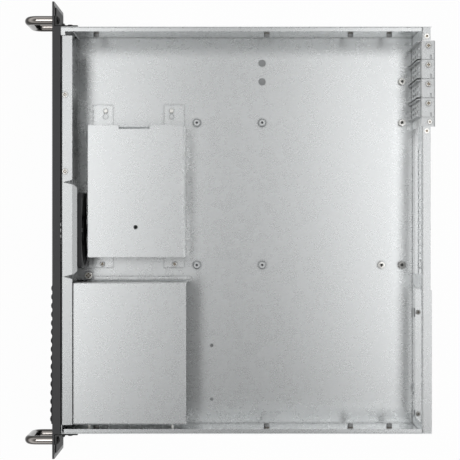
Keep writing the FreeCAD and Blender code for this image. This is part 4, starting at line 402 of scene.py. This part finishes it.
def polished_bar(name):
    """Polished handle bar with fine marks along its length, with a painted dark reflection on its
    sides and its own colour on top.
    """
    finish = Finish(name, roughness=0.08, metallic=1.0)
    marks = finish.noise(POLISHING_MARK, detail=3.0, stretch=(1, 0.06, 0.06))
    cloud = finish.noise(POLISH_CLOUD, detail=2.0)
    colour = bright_settings().handle_colour
    bright = finish.tinted(colour, finish.scaled(cloud, low=0.9, high=1.1))
    # Painted shade: the bar's upright sides are darkened, standing in for the dark reflection
    # there.
    painted_dark_side = finish.tinted(colour, finish.scaled(cloud, low=0.8, high=1.2), SIDE_PAINTED_SHADE)
    side = finish.scaled(finish.upright_share(), low=-0.1, high=3.6)
    return finish.surface(finish.mixed(side, bright, painted_dark_side),
                          finish.scaled(marks, low=0.05, high=0.12),
                          height=marks, bump=POLISH_RELIEF)


def plated(name, colour, roughness=0.3):
    """Bright plated fastener, with brown-tinted painted shade in its recesses."""
    finish = Finish(name, roughness, metallic=1.0)
    streak = finish.noise(PLATING_STREAK, detail=3.0)
    # Painted shade: occlusion darkens the recesses to a brown share of the plating's colour.
    unshaded_share = finish.scaled(finish.open_share(RECESS_REACH), low=-1.4, high=1.0)
    bright = finish.tinted(colour, finish.scaled(streak, low=0.88, high=1.08))
    recess_shade = (*(part * share for part, share in zip(colour, RECESS_SHADE_TINT)), 1.0)
    return finish.surface(finish.mixed(unshaded_share, recess_shade, bright),
                          finish.scaled(streak, low=roughness - 0.06, high=roughness + 0.08),
                          height=streak, bump=PLATING_RELIEF)


def solder_mask(name):
    """Green circuit board with the faint fields of its copper."""
    finish = Finish(name, roughness=0.35, coat=0.4)
    weave = finish.noise(BOARD_WEAVE, detail=2.0, stretch=(1, 1, 0.3))
    copper = finish.crystals(COPPER_FIELD, warp=0.2)
    colour = finish.mixed(copper, MASK_GREEN, MASK_OVER_COPPER)
    return finish.surface(colour, finish.scaled(weave, low=0.28, high=0.42),
                          height=weave, bump=WEAVE_RELIEF)


def clear_plastic(name):
    """Light pipe of clear plastic, a little cloudy inside."""
    finish = Finish(name, roughness=0.12)
    finish.shader.inputs["Transmission Weight"].default_value = CLEAR_TRANSMISSION
    cloud = finish.noise(CLEAR_CLOUD, detail=3.0)
    colour = finish.tinted(CLEAR_TINT, finish.scaled(cloud, low=0.9, high=1.05))
    return finish.surface(colour, finish.scaled(cloud, low=0.08, high=0.2))


def give(material, *nodes):
    """Put a material on frame nodes."""
    for node in nodes:
        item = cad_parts[node]
        item.data.materials.clear()
        item.data.materials.append(material)


# ---------------------------------------------------------------------------------------------
# Fasteners in the places that the frame gives
# ---------------------------------------------------------------------------------------------

X_AXIS, Y_AXIS, Z_AXIS = 0, 1, 2
QUARTER_TURN = math.radians(90)
HEXAGON_STEP = math.radians(60)
SMOOTH_ANGLE = math.radians(35)

# Solids in the frame's mesh: which points are one, which heights, and what counts as the head.
SAME_POINT = 1e-6
DECIMALS = 5
NEARLY_WIDE = 0.97

# Points of a rebuilt fastener that are one, or lie on its axis.
TOUCHING = 1e-7

# A screw's shape, as shares of its shank's radius.
TIP_WIDTH, TIP_LENGTH = 0.75, 0.3
THREAD_MARGIN = 0.6
THREAD_PITCH, FINEST_PITCH = 0.42, 0.4 * MILLIMETRE
THREAD_ROOT = 0.84
ROOT_PLACE, CREST_PLACE = 0.25, 0.75

# A head's shape, as shares of its radius and height.
NECK_DROP = 0.02
HEAD_UNDERSIDE = 0.96
RIM_HEIGHT = 0.10
RECESS_DEPTH = 0.8
DOME_RINGS = 16
DOME_REACH, DOME_POWER = 0.97, 2.6
FLAT_POWER = 22

# A recess in a head, as shares of the head's radius and of the recess.
ARM_LENGTH, ARM_HALF_WIDTH = 0.62, 0.19
ARM_END_SLOPE = 0.72
ARM_SIDE_SLOPE = (0.75, 1.35)
RIVET_BORE_SLOPE = (0.28, 0.42)

# A standoff's and a nut's shape, as shares of the radius, bore or chamfer.
POST_BORE, NUT_BORE = 1.3 * MILLIMETRE, 1.2 * MILLIMETRE
POST_CHAMFER, CHAMFER_HEIGHT, CROWN_HEIGHT = 0.1, 0.6, 0.03
COUNTERSINK_WIDTH, COUNTERSINK_DEPTH = 1.3, 0.4
NUT_EASE, NUT_MOUTH, NUT_FLOOR = 0.06, 1.15, 0.4


class Spot:
    """One separate solid of a node, measured along its own axis."""

    def __init__(self, points, axis):
        others = [index for index in range(3) if index != axis]
        lows = [min(point[index] for point in points) for index in range(3)]
        highs = [max(point[index] for point in points) for index in range(3)]
        self.axis = axis
        self.low, self.high = lows[axis], highs[axis]
        self.centre = Vector([(low + high) / 2 for low, high in zip(lows, highs)])
        self.rings = {}  # height along the axis: reach of the points there
        for point in points:
            reach = math.hypot(*[point[index] - self.centre[index] for index in others])
            height = round(point[axis], DECIMALS)
            self.rings[height] = max(reach, self.rings.get(height, 0.0))
        self.wide = max(self.rings.values())

    def radius_near(self, height):
        """Reach of the points nearest to a height along the axis."""
        nearest = min(self.rings, key=lambda place: abs(place - height))
        return self.rings[nearest]

    def wide_span(self):
        """Lowest and highest place where the solid is nearly as wide as it gets."""
        places = [place for place, reach in self.rings.items()
                  if reach > self.wide * NEARLY_WIDE]
        return min(places), max(places)

    def upright_matrix(self):
        """Moves an upright piece over the centre and leaves its heights as they are."""
        return axis_matrix(Z_AXIS, 1, Vector((self.centre.x, self.centre.y, 0)))


def spots(node, axis):
    """Every separate solid of a node, from the frame's own mesh."""
    work = bmesh.new()
    work.from_mesh(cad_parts[node].data)
    bmesh.ops.remove_doubles(work, verts=work.verts, dist=SAME_POINT)
    waiting = set(work.verts)
    found = []
    while waiting:
        start = waiting.pop()
        group, border = {start}, [start]
        while border:
            vertex = border.pop()
            for link in vertex.link_edges:
                other = link.other_vert(vertex)
                if other not in group:
                    group.add(other)
                    border.append(other)
        waiting -= group
        found.append(Spot([vertex.co.copy() for vertex in group], axis))
    work.free()
    return sorted(found, key=lambda spot: tuple(round(part, DECIMALS) for part in spot.centre))


def axis_matrix(axis, direction, place):
    """Turns a piece made along +Z to an axis, and moves it to a place."""
    way = Vector((0, 0, 0))
    way[axis] = direction
    return Matrix.Translation(place) @ way.to_track_quat("Z", "Y").to_matrix().to_4x4()


def ring(work, matrix, segments, height, reach, start=0.0, sink=None):
    """Vertices round the axis; reach(angle) is their radius, sink(x, y) lowers them."""
    row = []
    for step in range(segments):
        angle = 2 * math.pi * step / segments
        radius, turned = reach(angle), angle + start
        x, y = radius * math.cos(turned), radius * math.sin(turned)
        drop = sink(x, y) if sink else 0.0
        row.append(work.verts.new(matrix @ Vector((x, y, height - drop))))
    return row


def skin(work, rows):
    """Faces between rings that follow each other; a ring of one vertex closes an end."""
    for lower, upper in zip(rows, rows[1:]):
        segments = max(len(lower), len(upper))
        for step in range(segments):
            following = (step + 1) % segments
            if len(lower) == 1:
                work.faces.new((lower[0], upper[following], upper[step]))
            elif len(upper) == 1:
                work.faces.new((lower[step], lower[following], upper[0]))
            else:
                work.faces.new((lower[step], lower[following], upper[following], upper[step]))


def lathe(work, profile, segments, matrix, sink=None):
    """Revolve a profile of radius and height; its first and last points may lie on the axis."""
    rows = []
    for radius, height in profile:
        sides = 1 if radius < TOUCHING else segments
        rows.append(ring(work, matrix, sides, height, lambda angle: radius, sink=sink))
    skin(work, rows)


def smooth_step(value, low, high):
    """Rises smoothly from 0 to 1 between two values."""
    share = min(max((value - low) / (high - low), 0.0), 1.0)
    return share * share * (3 - 2 * share)


def cross_recess(head_radius, depth):
    """Depth of a cross recess at a point of the head."""
    arm, half = head_radius * ARM_LENGTH, head_radius * ARM_HALF_WIDTH
    inner, outer = (half * share for share in ARM_SIDE_SLOPE)

    def sink(x, y):
        deepest = 0.0
        for long, short in ((abs(x), abs(y)), (abs(y), abs(x))):
            along = 1 - smooth_step(long, arm * ARM_END_SLOPE, arm)
            across = 1 - smooth_step(short, inner, outer)
            deepest = max(deepest, along * across)
        return depth * deepest
    return sink


def round_recess(head_radius, depth):
    """Depth of a rivet's round bore at a point of the head."""
    inner, outer = (head_radius * share for share in RIVET_BORE_SLOPE)

    def sink(x, y):
        return depth * (1 - smooth_step(math.hypot(x, y), inner, outer))
    return sink


def screw(work, spot, direction, segments, recess=cross_recess, flat=False):
    """A screw or rivet with a domed head and a chamfered tip, as long as its solid."""
    start, end = spot.wide_span()
    top = spot.high if direction > 0 else spot.low
    tip = spot.low if direction > 0 else spot.high
    seat = start if direction > 0 else end
    head, shank = spot.wide, spot.radius_near(tip)
    tall, long = abs(top - seat), abs(seat - tip)
    place = spot.centre.copy()
    place[spot.axis] = seat
    matrix = axis_matrix(spot.axis, direction, place)

    thread_start = -long + shank * TIP_LENGTH
    body = [(0.0, -long), (shank * TIP_WIDTH, -long), (shank, thread_start)]
    pitch = max(shank * THREAD_PITCH, FINEST_PITCH)
    for turn in range(int(max(long - shank * THREAD_MARGIN, 0) / pitch)):
        base = thread_start + pitch * turn
        body += [(shank * THREAD_ROOT, base + pitch * ROOT_PLACE),
                 (shank, base + pitch * CREST_PLACE)]
    body += [(shank, -tall * NECK_DROP), (head * HEAD_UNDERSIDE, 0.0), (head, tall * RIM_HEIGHT)]
    lathe(work, body, segments, matrix)

    dome = []
    for step in range(DOME_RINGS + 1):
        share = 1 - step / DOME_RINGS
        if flat:
            bulge = 1 - share ** FLAT_POWER
        else:
            bulge = math.sqrt(1 - (share * DOME_REACH) ** DOME_POWER)
        dome.append((head * share, tall * (RIM_HEIGHT + (1 - RIM_HEIGHT) * bulge)))
    lathe(work, dome, segments, matrix, recess(head, tall * RECESS_DEPTH) if recess else None)


def hexagon_post(work, spot, bore, segments):
    """A hexagonal standoff with chamfered corners, a countersunk bore and a round shank."""
    corner = spot.wide
    low, high = spot.wide_span()
    flats = corner * math.cos(HEXAGON_STEP / 2)
    ease, crown = corner * POST_CHAMFER, corner * CROWN_HEIGHT
    matrix = spot.upright_matrix()

    def hexagon(height, trim):
        def reach(angle):
            local = (angle + HEXAGON_STEP / 2) % HEXAGON_STEP - HEXAGON_STEP / 2
            return min(flats / math.cos(local), corner - trim)
        return ring(work, matrix, segments, height, reach, start=QUARTER_TURN)

    def circle(height, radius):
        return ring(work, matrix, segments, height, lambda angle: radius, start=QUARTER_TURN)

    chamfer = ease * CHAMFER_HEIGHT
    skin(work, [hexagon(low, ease), hexagon(low + chamfer, 0.0),
                hexagon(high - crown - chamfer, 0.0), hexagon(high - crown, ease),
                circle(high, bore * COUNTERSINK_WIDTH),
                circle(high - bore * COUNTERSINK_DEPTH, bore), circle(spot.low, bore)])
    shank = spot.radius_near(spot.low)
    lathe(work, [(bore, spot.low), (shank, spot.low), (shank, low), (corner - ease, low)],
          segments, matrix)


def blind_nut(work, spot, bore, segments):
    """A round nut with a thin flange and a thread that ends inside it."""
    seat = spot.wide_span()[0]
    shank = spot.radius_near(spot.low)
    ease = spot.wide * NUT_EASE
    deep = spot.low + (spot.high - spot.low) * NUT_FLOOR
    lathe(work, [(0, spot.low), (shank, spot.low), (shank, seat), (spot.wide, seat),
                 (spot.wide - ease, spot.high), (bore * NUT_MOUTH, spot.high),
                 (bore, spot.high - ease), (bore, deep), (0, deep)],
          segments, spot.upright_matrix())


def finish_mesh(work, name, material, body, *nodes):
    """Turn a working mesh into a piece that rides on a body and stands for frame nodes."""
    bmesh.ops.remove_doubles(work, verts=work.verts, dist=TOUCHING)
    bmesh.ops.recalc_face_normals(work, faces=work.faces)
    for face in work.faces:
        face.smooth = True
    for edge in work.edges:
        sharp = len(edge.link_faces) == 2 and edge.calc_face_angle(0.0) > SMOOTH_ANGLE
        edge.smooth = not sharp
    mesh = bpy.data.meshes.new(name)
    work.to_mesh(mesh)
    work.free()
    mesh.materials.append(material)
    piece = bpy.data.objects.new(name, mesh)
    bpy.context.scene.collection.objects.link(piece)
    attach(piece, body)
    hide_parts(*nodes)
    return piece


def screw_set(node, axis, material, direction=None, only=None, name="", **shape):
    """Rebuild the screws of a node, or some; without a direction the heads point outwards."""
    work = bmesh.new()
    for spot in spots(node, axis):
        way = direction if direction else (1 if spot.centre[axis] > 0 else -1)
        if only is None or only(spot):
            screw(work, spot, way, bright_settings().segments, **shape)
    piece = finish_mesh(work, name or f"{node}_detailed", material, "case", node)
    return piece


# ---------------------------------------------------------------------------------------------
# Operators
# ---------------------------------------------------------------------------------------------

# Scales of the rolling grain: it is drawn out along the axis whose scale is below 1.
ALONG_WIDTH = (0.35, 1, 1)
ALONG_DEPTH = (1, 0.35, 1)
ALONG_CAGES = (1, 0.4, 1)


class RACKCASE_OT_sheets(bpy.types.Operator):
    """Give the folded sheet parts their galvanised finish"""
    bl_idname = "rack_case.sheets"
    bl_label = "Sheet parts"

    def execute(self, context):
        give(galvanised("zinc_pan", rolled=ALONG_DEPTH), "base_pan")
        # The front wall's upright faces get painted shade, the rear wall's more painted light than
        # the pan's, and the slot covers' less.
        give(galvanised("zinc_front_wall_painted_shade", shade=0.84, rolled=ALONG_WIDTH, upright=-1.0),
             "front_wall", "control_bracket")
        give(galvanised("zinc_rear_wall_painted_light", shade=0.84, rolled=ALONG_WIDTH, upright=1.7),
             "rear_wall")
        give(galvanised("zinc_cages", shade=1.04, rolled=ALONG_CAGES, bend=3.6),
             "drive_cage", "bay_box")
        give(galvanised("zinc_slot_covers", shade=0.72, upright=0.3), "slot_shelf",
             "slot_cover_1", "slot_cover_2", "slot_cover_3", "slot_cover_4")
        return {"FINISHED"}


class RACKCASE_OT_front(bpy.types.Operator):
    """Give the front panel, its brackets and the bay covers their black finishes"""
    bl_idname = "rack_case.front"
    bl_label = "Front panel"

    def execute(self, context):
        give(powder_coat("panel_coat"), "front_panel")
        give(powder_coat("bracket_coat", shade=0.4, roughness=0.66), "ear_bracket_left",
             "ear_bracket_right")
        give(moulded("bay_cover_plastic", shade=1.2), "bay_cover_lower", "bay_cover_upper")
        return {"FINISHED"}


class RACKCASE_OT_handles(bpy.types.Operator):
    """Polish both handles"""
    bl_idname = "rack_case.handles"
    bl_label = "Handles"

    def execute(self, context):
        give(polished_bar("handle_polish"), "handle_left", "handle_right")
        return {"FINISHED"}


class RACKCASE_OT_fan(bpy.types.Operator):
    """Finish the fan's frame and rotor"""
    bl_idname = "rack_case.fan"
    bl_label = "Fan"

    def execute(self, context):
        give(moulded("fan_frame_plastic", shade=1.1), "fan_frame")
        give(moulded("fan_rotor_plastic", shade=0.9, roughness=0.38), "fan_rotor")
        return {"FINISHED"}


class RACKCASE_OT_controls(bpy.types.Operator):
    """Finish the buttons, switches, lamps, sockets and their board"""
    bl_idname = "rack_case.controls"
    bl_label = "Controls"

    def execute(self, context):
        give(moulded("button_plastic", shade=1.6, roughness=0.35), "power_button", "reset_button")
        give(moulded("switch_plastic", shade=1.3), "power_switch", "reset_switch")
        give(solder_mask("board_mask"), "control_board")
        give(clear_plastic("lamp_plastic"), "light_pipes")
        give(plated("socket_tin", SOCKET_TIN, roughness=0.34), "usb_sockets")
        return {"FINISHED"}


class RACKCASE_OT_screws(bpy.types.Operator):
    """Rebuild the screws, rivets and pins with domed heads and recesses"""
    bl_idname = "rack_case.screws"
    bl_label = "Screws and rivets"

    def execute(self, context):
        look = bright_settings()
        bright = plated("screw_zinc", look.zinc_colour, roughness=0.27)
        dark = plated("rivet_grey", look.dark_colour, roughness=0.4)
        black = plated("screw_black", BLACK_STEEL, roughness=0.45)
        for node in ("slot_screws", "flange_screws", "floor_screws"):
            screw_set(node, Z_AXIS, bright, direction=1, flat=True)
        # The rivet in the slot shelf is the bright one, and lies higher than the others.
        level = sum(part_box("rear_rivets")[side].z for side in (0, 1)) / 2
        screw_set("rear_rivets", Z_AXIS, dark, direction=1, recess=round_recess,
                  only=lambda spot: spot.high < level)
        screw_set("rear_rivets", Z_AXIS, bright, direction=1, recess=round_recess, flat=True,
                  only=lambda spot: spot.high >= level, name="shelf_rivet_detailed")
        screw_set("keyhole_pins", Z_AXIS, bright, direction=1, recess=None, flat=True)
        screw_set("handle_screws", Y_AXIS, black, direction=1)
        screw_set("fan_screws", Y_AXIS, bright, direction=-1)
        screw_set("ear_screws", X_AXIS, black)
        return {"FINISHED"}


class RACKCASE_OT_posts(bpy.types.Operator):
    """Rebuild the standoffs and cover nuts, and finish the inserts and studs"""
    bl_idname = "rack_case.posts"
    bl_label = "Standoffs and inserts"

    def execute(self, context):
        look = bright_settings()
        bright = plated("post_nickel", look.zinc_colour, roughness=0.27)
        grey = plated("post_grey", look.dark_colour, roughness=0.38)
        for node, material, build, bore in (
                ("board_standoffs", bright, hexagon_post, POST_BORE),
                ("hex_standoff", grey, hexagon_post, POST_BORE),
                ("cover_nuts", bright, blind_nut, NUT_BORE)):
            work = bmesh.new()
            for spot in spots(node, Z_AXIS):
                build(work, spot, bore, look.segments)
            piece = finish_mesh(work, f"{node}_detailed", material, "case", node)
        give(plated("stud_zinc", look.zinc_colour, roughness=0.34), "bay_studs")
        give(plated("insert_grey", look.insert_colour, roughness=0.42), "rail_inserts")
        return {"FINISHED"}


class RACKCASE_OT_stage(bpy.types.Operator):
    """Set up the floor, the soft lamps, the room's light and the camera"""
    bl_idname = "rack_case.stage"
    bl_label = "Studio"

    def execute(self, context):
        look = stage_settings()
        build_floor(look)
        build_lamps(look)
        build_room(look)
        build_camera(look)
        context.scene.view_settings.view_transform = "Standard"
        return {"FINISHED"}


# ---------------------------------------------------------------------------------------------
# Studio
# ---------------------------------------------------------------------------------------------

FLOOR_HALF = 3.0
FLOOR_LEVEL = -0.2 * MILLIMETRE
BENEATH_INSET = 3 * MILLIMETRE
FLOOR_WHITE_SHARE = 0.97
WHITE = (1, 1, 1, 1)
# How far a direction rises where the room's light starts and ends its change.
HORIZON_RISE, OVERHEAD_RISE = 0.35, 0.85
# In millimetres, as the focal length is.
SENSOR_WIDTH = 36.0


def white_where_seen(tree, lit, share):
    """Mix a lit shader, by a share, with plain white for what the eye, gloss and glass see."""
    path = new_node(tree, "ShaderNodeLightPath").outputs
    seen = new_node(tree, "ShaderNodeMath",
                    {0: path["Is Camera Ray"], 1: path["Is Glossy Ray"]}, operation="MAXIMUM")
    through = new_node(tree, "ShaderNodeMath",
                       {0: seen.outputs[0], 1: path["Is Transmission Ray"]},
                       operation="MAXIMUM")
    amount = new_node(tree, "ShaderNodeMath", {0: through.outputs[0], 1: share},
                      operation="MULTIPLY")
    glow = new_node(tree, "ShaderNodeEmission")
    mix = new_node(tree, "ShaderNodeMixShader",
                   {"Fac": amount.outputs[0], 1: lit, 2: glow.outputs["Emission"]})
    return mix.outputs["Shader"]


def floor_material(name, colour, share):
    """Matt studio floor, by a share white to the eye."""
    material = bpy.data.materials.new(name)
    material.use_nodes = True
    tree = material.node_tree
    tree.nodes.remove(tree.nodes["Principled BSDF"])
    shader = new_node(tree, "ShaderNodeBsdfDiffuse", {"Color": (*colour, 1)}).outputs["BSDF"]
    if share > 0:
        shader = white_where_seen(tree, shader, share)
    feed(tree, tree.nodes["Material Output"].inputs["Surface"], shader)
    return material


def build_floor(look):
    """A wide floor, white to the eye, that keeps the case's shadow, with a darker grey of painted
    shade beneath the case.
    """
    low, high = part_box("base_pan")
    left, right = low.x + BENEATH_INSET, high.x - BENEATH_INSET
    front, rear = low.y + BENEATH_INSET, high.y - BENEATH_INSET
    corners = [(-FLOOR_HALF, -FLOOR_HALF), (FLOOR_HALF, -FLOOR_HALF),
               (FLOOR_HALF, FLOOR_HALF), (-FLOOR_HALF, FLOOR_HALF),
               (left, front), (right, front), (right, rear), (left, rear)]
    around = [(side, (side + 1) % 4, (side + 1) % 4 + 4, side + 4) for side in range(4)]
    mesh = bpy.data.meshes.new("studio_floor")
    mesh.from_pydata([(x, y, FLOOR_LEVEL) for x, y in corners], [], around + [(4, 5, 6, 7)])
    mesh.materials.append(floor_material("studio_floor", look.floor_colour, FLOOR_WHITE_SHARE))
    mesh.materials.append(floor_material("studio_floor_beneath_painted_shade", look.beneath_painted_shade, 0.0))
    mesh.polygons[len(around)].material_index = 1
    floor = bpy.data.objects.new("studio_floor", mesh)
    bpy.context.scene.collection.objects.link(floor)


def build_lamps(look):
    """Two soft lamps, one before and one behind the case."""
    for name, way in (("lamp_front", -1), ("lamp_rear", 1)):
        data = bpy.data.lights.new(name, "AREA")
        data.shape = "RECTANGLE"
        data.size, data.size_y = look.lamp_size
        data.energy = look.lamp_power
        lamp = bpy.data.objects.new(name, data)
        place = Vector((look.lamp_side, look.lamp_reach * way, look.lamp_height))
        lamp.location = place
        lamp.rotation_euler = (-place).to_track_quat("-Z", "Y").to_euler()
        bpy.context.scene.collection.objects.link(lamp)


def build_room(look):
    """A room light, brighter towards the horizon, that looks white to the eye."""
    world = bpy.data.worlds.new("studio_room")
    world.use_nodes = True
    tree = world.node_tree
    way = new_node(tree, "ShaderNodeTexCoord").outputs["Generated"]
    rise = new_node(tree, "ShaderNodeSeparateXYZ", {"Vector": way}).outputs["Z"]
    strength = new_node(tree, "ShaderNodeMapRange",
                        {"Value": rise, "From Min": HORIZON_RISE, "From Max": OVERHEAD_RISE,
                         "To Min": look.horizon, "To Max": look.sky}).outputs["Result"]
    room = tree.nodes["Background"]
    feed(tree, room.inputs["Color"], WHITE)
    feed(tree, room.inputs["Strength"], strength)
    seen = new_node(tree, "ShaderNodeLightPath").outputs["Is Camera Ray"]
    white = new_node(tree, "ShaderNodeBackground", {"Color": WHITE})
    mix = new_node(tree, "ShaderNodeMixShader",
                   {"Fac": seen, 1: room.outputs["Background"], 2: white.outputs["Background"]})
    feed(tree, tree.nodes["World Output"].inputs["Surface"], mix.outputs["Shader"])
    bpy.context.scene.world = world


def build_camera(look):
    """A camera that looks straight down, with the case's front to the left."""
    data = bpy.data.cameras.new("camera")
    data.lens = look.focal_length
    data.sensor_width = SENSOR_WIDTH
    data.shift_x, data.shift_y = look.shift
    camera = bpy.data.objects.new("camera", data)
    camera.location = look.camera_place
    camera.rotation_euler = (0, 0, QUARTER_TURN)
    bpy.context.scene.collection.objects.link(camera)
    bpy.context.scene.camera = camera


# ---------------------------------------------------------------------------------------------
# Panel and registration
# ---------------------------------------------------------------------------------------------

OPERATORS = (RACKCASE_OT_sheets, RACKCASE_OT_front, RACKCASE_OT_handles, RACKCASE_OT_fan,
             RACKCASE_OT_controls, RACKCASE_OT_screws, RACKCASE_OT_posts, RACKCASE_OT_stage)


class RACKCASE_PT_panel(bpy.types.Panel):
    """Lists the case's pieces and their settings."""
    bl_idname = "RACKCASE_PT_panel"
    bl_label = "Rack Case"
    bl_space_type = "VIEW_3D"
    bl_region_type = "UI"
    bl_category = "Rack Case"

    def draw(self, context):
        for operator in OPERATORS:
            self.layout.operator(operator.bl_idname, text=operator.bl_label)
        for settings in (sheet_settings(), black_settings(), bright_settings(), stage_settings()):
            box = self.layout.box()
            for name in settings.__annotations__:
                box.prop(settings, name)


SETTINGS = {
    "rack_case_sheet": SheetSettings,
    "rack_case_black": BlackSettings,
    "rack_case_bright": BrightSettings,
    "rack_case_stage": StageSettings,
}


def register():
    for group in SETTINGS.values():
        bpy.utils.register_class(group)
    for name, group in SETTINGS.items():
        setattr(bpy.types.Scene, name, PointerProperty(type=group))
    for operator in OPERATORS:
        bpy.utils.register_class(operator)
    bpy.utils.register_class(RACKCASE_PT_panel)


def unregister():
    bpy.utils.unregister_class(RACKCASE_PT_panel)
    for operator in reversed(OPERATORS):
        bpy.utils.unregister_class(operator)
    for name, group in SETTINGS.items():
        delattr(bpy.types.Scene, name)
        bpy.utils.unregister_class(group)


def main():
    register()
    bpy.ops.rack_case.stage()
    bpy.ops.rack_case.sheets()
    bpy.ops.rack_case.front()
    bpy.ops.rack_case.handles()
    bpy.ops.rack_case.fan()
    bpy.ops.rack_case.controls()
    bpy.ops.rack_case.screws()
    bpy.ops.rack_case.posts()


if __name__ == "__main__":
    main()
